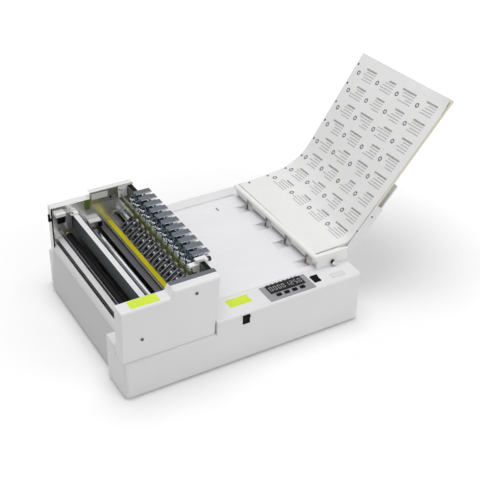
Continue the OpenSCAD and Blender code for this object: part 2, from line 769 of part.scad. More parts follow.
module knife_arm(i) color("gray") head_at(i) {
    inner = ear_y - slide_gap;
    difference() {
        bar_y(pivot_x, pivot_z, hub_r, -inner, inner);
        bar_y(pivot_x, pivot_z, pin_r + run_gap, -inner - 1, inner + 1);
    }
    translate([pivot_x, 0, pivot_z]) rotate([0, -arm_slope, 0]) {
        block([-arm_l, -inner, -arm_t / 2], [-pin_r - 1, inner, arm_t / 2]);
        block([-arm_l, -arm_w / 2, -arm_t / 2], [-2 * hub_r, arm_w / 2, arm_t / 2]);
        for (s = [-1, 1]) translate([0, s * (arm_w / 2 - 0.6), 0])
            block([-arm_l, -0.6, 0], [-2 * hub_r, 0.6, arm_t / 2 + arm_flange]);
    }
    // Blade and its holder
    block([holder_x, -3, arm_z(holder_x) - holder_h], [holder_x + holder_l, 3, arm_z(holder_x)]);
    xz(-0.5, 0.5) polygon([
        [holder_x + 0.5, arm_z(holder_x) - holder_h + 4],
        [holder_x + holder_l - 0.5, arm_z(holder_x) - holder_h + 4],
        [holder_x + holder_l - 1, tip_z + 4], [holder_x + 2, tip_z]]);
}

// Controls
module control_panel() {
    color("gray") difference() {
        block([panel_x, panel_in, deck_z], [panel_x + panel_l, panel_in + panel_w, deck_z + panel_t]);
        button_holes(deck_z - 1, deck_z + panel_t + 1);
    }
    color("black") translate([panel_x + (panel_l - display_l) / 2, display_y, deck_z + panel_t])
        cube([display_l, display_w, 1.2]);
}

module button(i) color("black") button_at(i)
    block([-button_l / 2, -button_w / 2, deck_z - 1],
          [button_l / 2, button_w / 2, deck_z + panel_t + button_up]);

module rocker() color("black") rotate([rocker_tilt, 0, 0]) yz(-rocker_w / 2, rocker_w / 2) intersection() {
    circle(rocker_r);
    polygon([[-rocker_r, rocker_h], [0, rocker_mid], [rocker_r, rocker_h],
             [rocker_r, -rocker_low], [-rocker_r, -rocker_low]]);
}

module switch_body() difference() {
    block([-rocker_w / 2 - switch_wall, -rocker_r - switch_wall, -switch_h],
          [rocker_w / 2 + switch_wall, rocker_r + switch_wall, 0]);
    block([-rocker_w / 2 - key_gap, -rocker_r - key_gap, -rocker_low - 2.5],
          [rocker_w / 2 + key_gap, rocker_r + key_gap, 1]);
}

module control_electronics() {
    color("green") {
        // Board under the control panel
        block([panel_x + 4, panel_in + 3, roof_z - 1.8],
              [panel_x + panel_l - 4, panel_in + panel_w - 3, roof_z - 0.2]);
        // Main board on its pillars
        translate([board_x, board_y, bottom_t + board_up]) cube([board_l, board_w, board_t]);
    }
    color("silver") {
        for (x = [pillar_in, board_l - pillar_in], y = [pillar_in, board_w - pillar_in])
            translate([board_x + x, board_y + y, bottom_t]) cylinder(r = pillar_r, h = board_up);
        // Power supply
        translate([board_x, board_y + board_w + supply_gap, bottom_t]) cube([board_l, supply_w, supply_h]);
    }
    color("black") {
        strip_rocker_at() switch_body();
        front_rocker_at() switch_body();
    }
}

module mains_inlet() color("black") difference() {
    inlet_body(0);
    block([inlet_x + inlet_wall, case_w - inlet_t + inlet_wall, inlet_z + inlet_wall],
          [inlet_x + inlet_l - inlet_wall, case_w + 1, inlet_z + inlet_h - inlet_wall]);
}

module screw() {
    bar_y(0, 0, screw_head_r, -screw_head_h, 0);
    bar_y(0, 0, thread_r, 0, 2 * wall);
}

module screws() color("dimgray") {
    translate([0, cover_in, 0]) cover_screws_at() screw();
    translate([0, case_w - rear_in, -rear_drop]) cover_screws_at() mirror([0, 1, 0]) screw();
}

// Feed
module feed_wheels_at() for (i = [0 : wheel_n - 1])
    translate([0, sheet_in + wheel_in + i * wheel_pitch, 0]) children();

module feed_shaft() color("rosybrown") {
    feed_wheels_at() bar_y(feed_x, feed_z, wheel_r, -wheel_w / 2, wheel_w / 2);
    bar_y(feed_x, feed_z, feed_r, cheek_f - tray_t - 2, cheek_r + tray_t + motor[1]);
}

// A strip along the back support: from u0 to u1 along it, and from v0 to v1 off its upper face
module along_support(u0, u1, v0, v1, y0, y1)
    translate([support_x, 0, floor_z]) rotate([0, -support_a, 0]) block([u0, y0, v0], [u1, y1, v1]);

module cheek(y) xz(y, y + tray_t) polygon([
    [ramp_x, feed_z - 12], [open_x1 - 2, feed_z - 12], [open_x1 - 2, deck_z + 8],
    [open_x1 + 4, floor_z], [open_x1 - 4, gate_z],
    [gate_x, gate_z], [gate_x, deck_z + gate_way], [ramp_x, deck_z]]);

module feed_tray() color("linen") difference() {
    union() {
        cheek(cheek_f - tray_t);
        cheek(cheek_r);
        // Gate wall with a rolled top edge
        block([gate_x, cheek_f, deck_z + gate_way], [gate_x + tray_t, cheek_r, gate_z]);
        bar_y(gate_x + tray_t - gate_roll, gate_z - gate_roll, gate_roll, block_y, cheek_r + tray_t);
        // Ramp from the floor down to the deck
        xz(cheek_f, cheek_r) polygon([
            [ramp_x, deck_z], [ramp_x + ramp_l, floor_z],
            [ramp_x + ramp_l, floor_z - tray_t], [ramp_x, deck_z - tray_t]]);
        block([ramp_x + ramp_l, cheek_f, floor_z - tray_t], [open_x1 + 4, cheek_r, floor_z]);
        // Floor's tongue and the back support, one bent plate
        xz(support_y0, support_y0 + support_w) polygon([
            [open_x1, floor_z], [support_x, floor_z],
            [support_x + support_l * cos(support_a), floor_z + support_l * sin(support_a)],
            [support_x + support_l * cos(support_a) + tray_t * sin(support_a),
             floor_z + support_l * sin(support_a) - tray_t * cos(support_a)],
            [support_x + tray_t * tan(support_a / 2), floor_z - tray_t], [open_x1, floor_z - tray_t]]);
        // Front block and rear tab on the case
        block([gate_x, block_y, deck_z], [block_x1, cheek_f - tray_t, gate_z]);
        block([ramp_x + 8, cheek_r + tray_t, deck_z], [open_x1 - 2, cheek_r + tray_t + 8, deck_z + 2]);
    }
    feed_wheels_at() {
        bar_y(feed_x, feed_z, wheel_r + 1.2, -wheel_w / 2 - 1, wheel_w / 2 + 1);
        block([gate_x - 1, -wheel_w / 2 - 1, deck_z], [ramp_x, wheel_w / 2 + 1, deck_z + 15]);
    }
    bar_y(feed_x, feed_z, feed_r + run_gap, 0, case_w);
    bar_y(knob_x, knob_z, pin_r + run_gap, block_y - 1, cheek_f + 1);
}

module side_guide() color("white") {
    along_support(guide_u, guide_u + side_guide_l, seat, guide_top, guide_y, guide_y + side_guide_t);
    // Foot that slides on the back support
    along_support(guide_u + 30, guide_u + side_guide_l - 10, seat, seat + 2,
                  guide_y, support_y0 + support_w / 2);
}

module tray_knob() color("dimgray") {
    bar_y(knob_x, knob_z, knob_r, block_y - seat - 7, block_y - seat);
    bar_y(knob_x, knob_z, pin_r, block_y - seat, cheek_f + 2);
}

// Stack of sheets: a ruled solid between a tightly bent front edge and a slack rear edge
function stack_ring(s) = [
    [edge_x(front_edge, s), sheet_in, edge_z(front_edge, s)],
    [edge_x(rear_edge, s), sheet_in + sheet_w, edge_z(rear_edge, s)],
    [under_x(rear_edge, s), sheet_in + sheet_w, under_z(rear_edge, s)],
    [under_x(front_edge, s), sheet_in, under_z(front_edge, s)]];

module sheet_stack() color("ivory") polyhedron(
    points = [for (s = stack_s) for (p = stack_ring(s)) p],
    faces = concat(
        [[0, 2, 1], [0, 3, 2]],
        [for (i = [0 : stack_n - 1]) for (k = [0 : 3])
            let (a = 4 * i + k, b = 4 * i + (k + 1) % 4)
            for (f = [[a, b + 4, a + 4], [a, b, b + 4]]) f],
        [[4 * stack_n, 4 * stack_n + 1, 4 * stack_n + 2], [4 * stack_n, 4 * stack_n + 2, 4 * stack_n + 3]]));

at_machine() main_case();
at_machine() bottom_plate();
at_machine() rubber_feet();
at_machine() deck_plate();
at_machine() front_cover();
at_machine() rear_cover();
at_machine() exit_chute();
at_machine() front_side_plate();
at_machine() rear_side_plate();
at_machine() sheet_guides();
at_machine() upper_exit_roller();
at_machine() lower_exit_roller();
at_machine() cross_beam();
at_machine() pinch_roller();
at_machine() drive_roller();
at_machine() blade_guard();
at_machine() cutting_anvil();
at_machine() stay_rods();
at_machine() head_rail();
at_machine() scale_bar();
at_machine() bearings();
at_machine() gear_motors();
at_machine() drive_belt();
at_machine() control_panel();
at_machine() strip_rocker_at() rocker();  // strip_rocker
at_machine() front_rocker_at() rocker();  // front_rocker
at_machine() feed_shaft();
at_machine() feed_tray();
at_machine() side_guide();
at_machine() tray_knob();
at_machine() sheet_stack();
at_machine() control_electronics();
at_machine() mains_inlet();
at_machine() screws();
for (i = buttons) at_machine() button(i);
for (i = heads) at_machine() knife_head(i);
for (i = heads) at_machine() knife_arm(i);
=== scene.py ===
import bpy
import bmesh
import json
import math
from mathutils import Matrix, Vector


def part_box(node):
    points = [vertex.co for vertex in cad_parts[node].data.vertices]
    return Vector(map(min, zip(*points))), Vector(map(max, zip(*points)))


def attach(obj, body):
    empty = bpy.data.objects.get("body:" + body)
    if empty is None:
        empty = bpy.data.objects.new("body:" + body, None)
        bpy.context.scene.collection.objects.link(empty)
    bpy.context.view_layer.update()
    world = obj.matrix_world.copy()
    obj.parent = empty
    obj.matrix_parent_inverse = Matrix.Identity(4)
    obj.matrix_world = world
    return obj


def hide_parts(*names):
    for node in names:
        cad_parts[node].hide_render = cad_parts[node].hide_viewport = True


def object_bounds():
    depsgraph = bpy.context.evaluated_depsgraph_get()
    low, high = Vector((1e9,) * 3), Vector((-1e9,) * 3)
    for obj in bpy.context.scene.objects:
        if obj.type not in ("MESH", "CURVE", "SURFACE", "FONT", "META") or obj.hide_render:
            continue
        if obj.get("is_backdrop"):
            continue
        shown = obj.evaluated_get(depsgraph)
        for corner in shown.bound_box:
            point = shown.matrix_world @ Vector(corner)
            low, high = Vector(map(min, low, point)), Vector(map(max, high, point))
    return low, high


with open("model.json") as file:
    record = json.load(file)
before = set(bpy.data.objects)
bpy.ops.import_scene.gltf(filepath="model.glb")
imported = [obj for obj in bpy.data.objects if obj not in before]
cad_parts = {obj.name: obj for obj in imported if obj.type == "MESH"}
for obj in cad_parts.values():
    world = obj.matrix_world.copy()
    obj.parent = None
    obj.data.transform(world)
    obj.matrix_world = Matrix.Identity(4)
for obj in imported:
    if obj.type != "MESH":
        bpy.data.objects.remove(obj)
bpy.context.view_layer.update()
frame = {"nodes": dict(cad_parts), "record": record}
print("frame loaded with", len(frame["nodes"]), "nodes")

mm = 0.001
upward = 0.7  # a face is a top when its normal's z is above this
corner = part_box("main_case")[0]  # exit end, front face and underside of the case


def at(x, y, z):
    return corner + Vector((x, y, z)) * mm


def inMachine(point):
    return (point - corner) / mm


# Finishes
grainDepth = 0.2 * mm


def nodesOf(name):
    material = bpy.data.materials.new(name)
    material.use_nodes = True
    tree = material.node_tree
    shader = tree.nodes["Principled BSDF"]
    return material, tree, shader


def noiseIn(tree, scale, stretch=(1, 1, 1), detail=3.0):
    place = tree.nodes.new("ShaderNodeTexCoord")
    turn = tree.nodes.new("ShaderNodeMapping")
    turn.inputs["Scale"].default_value = stretch
    noise = tree.nodes.new("ShaderNodeTexNoise")
    noise.inputs["Scale"].default_value = scale
    noise.inputs["Detail"].default_value = detail
    tree.links.new(place.outputs["Object"], turn.inputs["Vector"])
    tree.links.new(turn.outputs["Vector"], noise.inputs["Vector"])
    return noise.outputs["Fac"]


def rampOf(tree, source, low, high, start=0.3, end=0.7):
    ramp = tree.nodes.new("ShaderNodeValToRGB")
    ramp.color_ramp.elements[0].position = start
    ramp.color_ramp.elements[1].position = end
    ramp.color_ramp.elements[0].color = (*low, 1)
    ramp.color_ramp.elements[1].color = (*high, 1)
    tree.links.new(source, ramp.inputs["Fac"])
    return ramp.outputs["Color"]


def spanOf(tree, source, low, high, start=0, end=1):
    span = tree.nodes.new("ShaderNodeMapRange")
    span.inputs["From Min"].default_value = start
    span.inputs["From Max"].default_value = end
    span.inputs["To Min"].default_value = low
    span.inputs["To Max"].default_value = high
    tree.links.new(source, span.inputs["Value"])
    return span.outputs["Result"]


def addRelief(tree, shader, height, strength):
    relief = tree.nodes.new("ShaderNodeBump")
    relief.inputs["Strength"].default_value = strength
    relief.inputs["Distance"].default_value = grainDepth
    tree.links.new(height, relief.inputs["Height"])
    tree.links.new(relief.outputs["Normal"], shader.inputs["Normal"])


def surface(name, colour, vary, rough=(0.4, 0.5), metal=0.0, scale=40, stretch=(1, 1, 1),
            grain=900, bump=0.08, gloss=0.5):
    material, tree, shader = nodesOf(name)
    broad = noiseIn(tree, scale, stretch)
    low = [c * (1 - vary) for c in colour]
    high = [min(1.0, c * (1 + vary)) for c in colour]
    tree.links.new(rampOf(tree, broad, low, high), shader.inputs["Base Color"])
    fine = noiseIn(tree, grain, stretch, detail=2.0)
    tree.links.new(spanOf(tree, fine, *rough), shader.inputs["Roughness"])
    addRelief(tree, shader, fine, bump)
    shader.inputs["Metallic"].default_value = metal
    shader.inputs["Specular IOR Level"].default_value = gloss
    material.diffuse_color = (*colour, 1)
    return material


# stretch draws the grain out along the axis with the small number
moulded = dict(scale=9, grain=1400, bump=0.06)
sideBrush = dict(scale=60, stretch=(0.05, 1, 1), grain=500, bump=0.04)
plainBrush = dict(scale=90, stretch=(0.06, 1, 1), grain=600, bump=0.06)
edgeBrush = dict(scale=200, stretch=(0.1, 1, 1), grain=700, bump=0.05)
armBrush = dict(scale=160, stretch=(0.1, 1, 1), grain=700)
plateBrush = dict(scale=130, stretch=(0.08, 1, 1), grain=700)
crossBrush = dict(scale=90, stretch=(1, 0.06, 1), grain=700)
anvilBrush = dict(scale=90, stretch=(1, 0.06, 1), grain=600, bump=0.06)
rodPolish = dict(scale=50, stretch=(1, 0.1, 1), grain=500, bump=0.02)
rollerSkin = dict(scale=120, stretch=(1, 0.1, 1))
drawnSteel = dict(scale=300, stretch=(1, 1, 0.2), bump=0.04)
streaks = dict(scale=160, stretch=(1, 1, 0.12), bump=0.05)
plungerSkin = dict(scale=200, stretch=(1, 1, 0.2), bump=0.05)
deckSheen = dict(scale=6, stretch=(0.4, 4, 1), bump=0.03)
guardPaint = dict(scale=70, stretch=(1, 0.25, 1), grain=700)
scalePaint = dict(scale=200, stretch=(1, 0.4, 1), grain=700, bump=0.1)
blackPlastic = dict(scale=100, grain=1300, bump=0.12)
smallMetal = dict(scale=200, bump=0.05)
finishValues = {
    "caseWhite": dict(colour=(0.80, 0.80, 0.81), vary=0.012, rough=(0.34, 0.46), **moulded),
    "coverWhite": dict(colour=(0.82, 0.82, 0.83), vary=0.012, rough=(0.32, 0.44), **moulded),
    "deckWhite": dict(colour=(0.86, 0.86, 0.88), vary=0.012, rough=(0.2, 0.3), **deckSheen),
    "trayCream": dict(colour=(0.83, 0.81, 0.77), vary=0.015, rough=(0.38, 0.5), **moulded),
    "gateWhite": dict(colour=(0.90, 0.895, 0.885), vary=0.012, rough=(0.38, 0.5), **moulded),
    # painted shade: the chute is white plastic like the case, darkened here to grey
    "chuteShadeGrey": dict(colour=(0.62, 0.622, 0.625), vary=0.015, rough=(0.36, 0.48), **moulded),
    "stickerLime": dict(colour=(0.66, 0.83, 0.028), vary=0.04, scale=60, bump=0.05),
    "labelGrey": dict(colour=(0.74, 0.74, 0.73), vary=0.04, scale=60, bump=0.05),
    "labelEdge": dict(colour=(0.45, 0.45, 0.45), vary=0.04, scale=60),
    "sideSteel": dict(colour=(0.70, 0.70, 0.68), vary=0.1, rough=(0.20, 0.30), metal=0.9, **sideBrush),
    "rearSteel": dict(colour=(0.78, 0.78, 0.74), vary=0.1, rough=(0.18, 0.27), metal=0.8, **sideBrush),
    "plainSteel": dict(colour=(0.58, 0.58, 0.57), vary=0.1, rough=(0.24, 0.36), metal=1.0, **plainBrush),
    "chrome": dict(colour=(0.72, 0.75, 0.79), vary=0.04, rough=(0.06, 0.12), metal=1.0, **rodPolish),
    "coolSteel": dict(colour=(0.50, 0.58, 0.66), vary=0.12, rough=(0.12, 0.22), metal=1.0, **drawnSteel),
    "streakSteel": dict(colour=(0.34, 0.41, 0.48), vary=0.8, rough=(0.1, 0.2), metal=0.9, **streaks),
    # dark steel of the knife head plates, also painted shade on the front plate's flange top
    "darkSteelAndFlangeShade": dict(colour=(0.115, 0.132, 0.155), vary=0.14, rough=(0.34, 0.46), metal=0.6, **plateBrush),
    # painted shade on the plungers under the top plates
    "plungerShade": dict(colour=(0.10, 0.12, 0.145), vary=0.3, rough=(0.22, 0.34), metal=0.8, **plungerSkin),
    # painted highlight on thin plate edges
    "plateEdgeHighlight": dict(colour=(0.42, 0.47, 0.52), vary=0.1, rough=(0.2, 0.3), metal=1.0, **edgeBrush),
    "armSteel": dict(colour=(0.105, 0.105, 0.108), vary=0.18, rough=(0.38, 0.5), metal=0.5, **armBrush),
    # painted highlight on the arms' flanges
    "armEdgeHighlight": dict(colour=(0.40, 0.40, 0.41), vary=0.12, rough=(0.25, 0.35), metal=1.0, **edgeBrush),
    "anvilSteel": dict(colour=(0.25, 0.25, 0.26), vary=0.12, rough=(0.28, 0.4), metal=1.0, **anvilBrush),
    # painted shade on the cross beam's sides
    "beamShadedSide": dict(colour=(0.034, 0.042, 0.043), vary=0.12, rough=(0.45, 0.55), bump=0.05, gloss=0.16,
                     **crossBrush),
    # pale trim colour, also the painted highlight on the cross beam's top
    "paleTrimAndLitBeamTop": dict(colour=(0.78, 0.78, 0.79), vary=0.03, rough=(0.3, 0.4), bump=0.03, **crossBrush),
    # dark guide plate finish, also painted shade on the sheet under the heads
    "guidePlateAndShade": dict(colour=(0.10, 0.10, 0.105), vary=0.1, rough=(0.35, 0.45), metal=0.4, bump=0.05,
                       **crossBrush),
    "guideGrey": dict(colour=(0.33, 0.33, 0.33), vary=0.08, rough=(0.3, 0.4), metal=0.5, bump=0.05,
                      **crossBrush),
    "rollerBlack": dict(colour=(0.007, 0.006, 0.006), vary=0.25, rough=(0.3, 0.42), bump=0.1, gloss=0.12,
                        **rollerSkin),
    "rollerGrey": dict(colour=(0.05, 0.05, 0.05), vary=0.15, rough=(0.5, 0.62), bump=0.15, **rollerSkin),
    "wheelRubber": dict(colour=(0.87, 0.80, 0.79), vary=0.08, rough=(0.6, 0.75), scale=120, bump=0.25),
    "guardYellow": dict(colour=(0.68, 0.58, 0.006), vary=0.1, rough=(0.36, 0.5), **guardPaint),
    "scaleOlive": dict(colour=(0.10, 0.15, 0.018), vary=0.25, **scalePaint),
    "panelGrey": dict(colour=(0.30, 0.30, 0.31), vary=0.04, scale=60, grain=1200, bump=0.06),
    "windowBlack": dict(colour=(0.01, 0.01, 0.011), vary=0.1, rough=(0.25, 0.32), scale=60, bump=0.02,
                        gloss=0.12),
    "digitPale": dict(colour=(0.42, 0.44, 0.43), vary=0.06, scale=300),
    # black plastic, also the black of blocks that stand for shade at the rear plate
    "keyBlackAndShade": dict(colour=(0.006, 0.006, 0.007), vary=0.15, rough=(0.42, 0.55), gloss=0.05, **blackPlastic),
    "knobBlack": dict(colour=(0.015, 0.015, 0.016), vary=0.2, rough=(0.35, 0.48), gloss=0.3, **blackPlastic),
    "screwSteel": dict(colour=(0.16, 0.16, 0.16), vary=0.12, rough=(0.3, 0.4), metal=1.0, **smallMetal),
    "bushBrass": dict(colour=(0.50, 0.36, 0.14), vary=0.1, rough=(0.25, 0.35), metal=1.0, **smallMetal),
    "baseGrey": dict(colour=(0.16, 0.16, 0.165), vary=0.06, rough=(0.45, 0.6), metal=0.2, scale=60,
                     grain=1100, bump=0.1),
    "motorGrey": dict(colour=(0.22, 0.22, 0.24), vary=0.08, rough=(0.35, 0.5), metal=0.6, scale=100,
                      bump=0.06),
    "footRubber": dict(colour=(0.02, 0.02, 0.02), vary=0.15, rough=(0.65, 0.8), scale=100, bump=0.2),
    "beltBlack": dict(colour=(0.02, 0.02, 0.02), vary=0.15, rough=(0.6, 0.75), scale=200, bump=0.2),
    "boardGreen": dict(colour=(0.03, 0.16, 0.06), vary=0.12, rough=(0.35, 0.5), scale=200, bump=0.06),
    "paperPlain": dict(colour=(0.84, 0.84, 0.83), vary=0.012, rough=(0.55, 0.68), scale=30, grain=1600),
    "linerYellow": dict(colour=(0.78, 0.74, 0.36), vary=0.04, rough=(0.5, 0.6), scale=30),
}
finishes = {name: surface(name, **values) for name, values in finishValues.items()}
paperLayers = {"scale": 480, "distortion": 1.2, "dark": (0.70, 0.66, 0.44), "pale": (0.83, 0.82, 0.76),
               "ramp": (0.2, 0.8), "rough": 0.7}


def paperEdges():
    material, tree, shader = nodesOf("paperEdges")
    wave = tree.nodes.new("ShaderNodeTexWave")
    wave.wave_type = "BANDS"
    wave.bands_direction = "Z"
    wave.inputs["Scale"].default_value = paperLayers["scale"]
    wave.inputs["Distortion"].default_value = paperLayers["distortion"]
    where = tree.nodes.new("ShaderNodeTexCoord")
    tree.links.new(where.outputs["Object"], wave.inputs["Vector"])
    tone = rampOf(tree, wave.outputs["Fac"], paperLayers["dark"], paperLayers["pale"], *paperLayers["ramp"])
    tree.links.new(tone, shader.inputs["Base Color"])
    shader.inputs["Roughness"].default_value = paperLayers["rough"]
    return material


finishes["paperEdges"] = paperEdges()
print("finishes made:", len(finishes))

# Making pieces
dressing = {"merge": 2e-6, "flatWithin": 1, "roundFrom": 35, "sharpFrom": 30, "tries": 10,
            "foldShare": 1.01, "foldArea": 1e-8, "longEdge": 2.2, "bendLimit": 40, "bendRoom": 2.5,
            "endTries": 3, "endReach": (1.8, 0.3), "sideReach": (0.4, 0.2)}
bodyOf = {n: b for b, ns in frame["record"]["behaviour"]["bodies"].items() for n in ns}
axisTurns = {"X": Matrix.Rotation(math.pi / 2, 4, "Y"), "Y": Matrix.Rotation(math.pi / 2, 4, "X"),
             "Z": Matrix()}


def settle(name, bm, body, looks, replaces=()):
    mesh = bpy.data.meshes.new(name)
    bm.normal_update()
    bm.to_mesh(mesh)
    bm.free()
    for look in looks:
        mesh.materials.append(finishes[look])
    for polygon in mesh.polygons:
        polygon.use_smooth = True
    mesh.set_sharp_from_angle(angle=math.radians(dressing["sharpFrom"]))
    piece = bpy.data.objects.new(name, mesh)
    bpy.context.scene.collection.objects.link(piece)
    even = piece.modifiers.new("evenNormals", "WEIGHTED_NORMAL")
    even.keep_sharp = True
    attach(piece, body)
    if replaces:
        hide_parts(*replaces)


def roundOff(bm, edges, width, segments, clamp):
    bmesh.ops.bevel(bm, geom=edges, offset=width * mm, offset_type="OFFSET", segments=segments,
                    profile=0.5, affect="EDGES", clamp_overlap=clamp, material=-1)


def foldedSpots(bm):  # corners of faces that lie over themselves
    spread = {}
    for a, b, c in bm.calc_loop_triangles():
        area = (b.vert.co - a.vert.co).cross(c.vert.co - a.vert.co).length / 2
        spread[a.face] = spread.get(a.face, 0) + area
    folded = [face for face, area in spread.items()
              if area > dressing["foldShare"] * face.calc_area() + dressing["foldArea"]]
    return [vert.co.copy() for face in folded for vert in face.verts]


def endsAtFolds(edge, spots, reach):
    return all(min((spot - vert.co).length for spot in spots) < reach for vert in edge.verts)


def passesFold(edge, spots, reach):
    start, end = (vert.co for vert in edge.verts)
    along = end - start
    for spot in spots:
        part = min(1, max(0, (spot - start).dot(along) / along.length_squared))
        if (start + along * part - spot).length < reach:
            return True
    return False


def gentle(edge, corners, width):
    if edge.calc_length() > dressing["longEdge"] * width * mm:
        return True
    for vert in edge.verts:  # short edges count only along a wide curve
        onward = [e for e in vert.link_edges if e in corners and e is not edge]
        if len(onward) != 1:
            return False
        here = (vert.co - edge.other_vert(vert).co).normalized()
        turned = here.angle((onward[0].other_vert(vert).co - vert.co).normalized())
        if turned > math.radians(dressing["bendLimit"]):
            return False
        if edge.calc_length() < dressing["bendRoom"] * width * mm * turned:
            return False
    return True


def softEdges(bm, width, segments):
    sharp = set()  # edges too close together to be rounded
    for attempt in range(dressing["tries"]):
        rounded = bm.copy()
        corners = {e for e in rounded.edges if len(e.link_faces) == 2 and e.is_convex
                   and e.calc_face_angle(0) > math.radians(dressing["roundFrom"])}
        rims = [e for e in rounded.edges
                if e in corners and e.index not in sharp and gentle(e, corners, width)]
        roundOff(rounded, rims, width, segments, clamp=False)
        folds = foldedSpots(rounded)
        if not folds:
            bm.free()
            return rounded
        rounded.free()
        atEnds = attempt < dressing["endTries"]
        near = endsAtFolds if atEnds else passesFold
        start, step = dressing["endReach"] if atEnds else dressing["sideReach"]
        reach = (start + step * attempt) * width * mm
        sharp |= {e.index for e in bm.edges if near(e, folds, reach)}
    return bm


def solidOf(node, edge, segments=2):
    bm = bmesh.new()
    bm.from_mesh(frame["nodes"][node].data)
    bmesh.ops.remove_doubles(bm, verts=bm.verts, dist=dressing["merge"])
    bmesh.ops.dissolve_limit(bm, angle_limit=math.radians(dressing["flatWithin"]), verts=bm.verts,
                             edges=bm.edges)
    bm.edges.index_update()
    return softEdges(bm, edge, segments)


def paint(bm, looks, choose):
    for face in bm.faces:
        face.material_index = looks.index(choose(inMachine(face.calc_center_median()), face.normal))


def dressed(node, looks, edge, choose=None, segments=2, like=None):
    bm = solidOf(like or node, edge, segments)
    if like:  # the same shape, further along the row
        bmesh.ops.translate(bm, vec=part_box(node)[0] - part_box(like)[0], verts=bm.verts)
    paint(bm, looks, choose or (lambda p, n: looks[0]))
    settle(node + "Shell", bm, bodyOf[node], looks, [node])


def topLook(top, rest):
    return lambda p, n: top if n.z > upward else rest


def slab(bm, low, high, edge=0, segments=2, look=0):
    made = bmesh.ops.create_cube(bm, size=1)["verts"]
    low, high = at(*low), at(*high)
    bmesh.ops.scale(bm, vec=high - low, verts=made)
    bmesh.ops.translate(bm, vec=(low + high) / 2, verts=made)
    for face in {f for v in made for f in v.link_faces}:
        face.material_index = look
    if edge:
        rims = list({e for v in made for e in v.link_edges})
        roundOff(bm, rims, edge, segments, clamp=True)


def peg(bm, centre, radius, length, axis, sides, edge, look=0, tip=None):
    made = bmesh.ops.create_cone(bm, cap_ends=True, segments=sides, radius1=radius * mm,
                                 radius2=(tip or radius) * mm, depth=length * mm)["verts"]
    bmesh.ops.transform(bm, matrix=axisTurns[axis], verts=made)
    bmesh.ops.translate(bm, vec=at(*centre), verts=made)
    faces = {f for v in made for f in v.link_faces}
    for face in faces:
        face.material_index = look
    caps = {e for f in faces if len(f.verts) > 4 for e in f.edges}
    roundOff(bm, list(caps), edge, segments=2, clamp=True)


def moved(point, by):
    return tuple(a + b for a, b in zip(point, by))


def blocks(bm, rows, looks, by=(0, 0, 0), segments=2):  # rows of low, high, edge, finish
    for low, high, edge, look in rows.values():
        slab(bm, moved(low, by), moved(high, by), edge, segments, looks.index(look))


def pegs(bm, rows, looks, by=(0, 0, 0)):  # rows of centre, radius, length, axis, sides, edge, finish
    for centre, radius, length, axis, sides, edge, look in rows.values():
        peg(bm, moved(centre, by), radius, length, axis, sides, edge, looks.index(look))


# Case and covers
caseShape = {"edge": 0.8, "coverEdge": 1.4, "chuteEdge": 0.8, "chuteWhiteFrom": 92, "deckEdge": 0.4,
             "baseEdge": 0.3, "footEdge": 1.2, "linerEdge": 0.3}
dressed("main_case", ["caseWhite"], caseShape["edge"])
dressed("front_cover", ["coverWhite"], caseShape["coverEdge"], segments=3)
dressed("rear_cover", ["coverWhite"], caseShape["coverEdge"], segments=3)
# The chute's lower face is painted grey as painted shade; the lip above chuteWhiteFrom stays white.
dressed("exit_chute", ["chuteShadeGrey", "coverWhite"], caseShape["chuteEdge"],
        lambda p, n: "coverWhite" if p.z > caseShape["chuteWhiteFrom"] else "chuteShadeGrey")
dressed("deck_plate", ["deckWhite"], caseShape["deckEdge"])
dressed("bottom_plate", ["baseGrey"], caseShape["baseEdge"])
dressed("rubber_feet", ["footRubber"], caseShape["footEdge"])
liners = {  # thin walls that close the open ends and seams of the bay
    "coverEnd": ((3.2, 32.2, 78.5), (20.4, 33.9, 185.7)),
    "chuteCheek": ((12.8, 75.8, 4), (27, 77.7, 75.5)),
    "rearCorner": ((187.2, 385.2, 74.5), (189.2, 406.6, 102.7)),
    "frontCorner": ((187.2, 3.3, 74.5), (189.2, 33.5, 102.7)),
    "coverSeam": ((184.3, 8, 77.4), (186.6, 33, 104)),
    "shoulderSeam": ((1.2, 34.5, 74.2), (19.5, 41.5, 104)),
    "chuteSeam": ((18.4, 382.8, 4), (19.9, 384.7, 76.5)),
    "shoulderBack": ((18.1, 41.6, 74.5), (19.8, 78.2, 103.4)),
}
bm = bmesh.new()
for low, high in liners.values():
    slab(bm, low, high, caseShape["linerEdge"])
settle("endLiners", bm, "chassis", ["coverWhite"])
print("case dressed")

# Plain patches where stickers sit
patchCorner = {"radius": 1.6, "segments": 4}
patches = {"coverPatch": ((22.5, 10.5, 189.0), (78.5, 33.5, 189.25), "stickerLime"),
           "stripPatch": ((229, 26, 106.0), (276, 50, 106.2), "stickerLime"),
           "smallPatchEdge": ((451, 15, 106.0), (481, 28.5, 106.1), "labelEdge"),
           "smallPatch": ((451.7, 15.7, 106.0), (480.3, 27.8, 106.2), "labelGrey")}
for name, (low, high, look) in patches.items():
    bm = bmesh.new()
    slab(bm, low, high)
    upright = [e for e in bm.edges if abs((e.verts[0].co - e.verts[1].co).normalized().z) > upward]
    roundOff(bm, upright, patchCorner["radius"], patchCorner["segments"], clamp=False)
    settle(name, bm, "chassis", [look])
print("patches placed")

# Side plates, and what is fixed to the inside of the rear one
sidePlates = {"edge": 0.25, "flangeFrom": 190}
# The up-facing flange top above flangeFrom is painted dark steel as painted shade; the rest is side steel.
dressed("front_side_plate", ["sideSteel", "darkSteelAndFlangeShade"], sidePlates["edge"],
        lambda p, n: "darkSteelAndFlangeShade" if n.z > upward and p.z > sidePlates["flangeFrom"] else "sideSteel")
dressed("rear_side_plate", ["rearSteel"], sidePlates["edge"])
frontY = inMachine(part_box("front_side_plate")[1]).y
rearY = inMachine(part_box("rear_side_plate")[0]).y
rearInside = (0, rearY, 0)  # the rows below give y from here

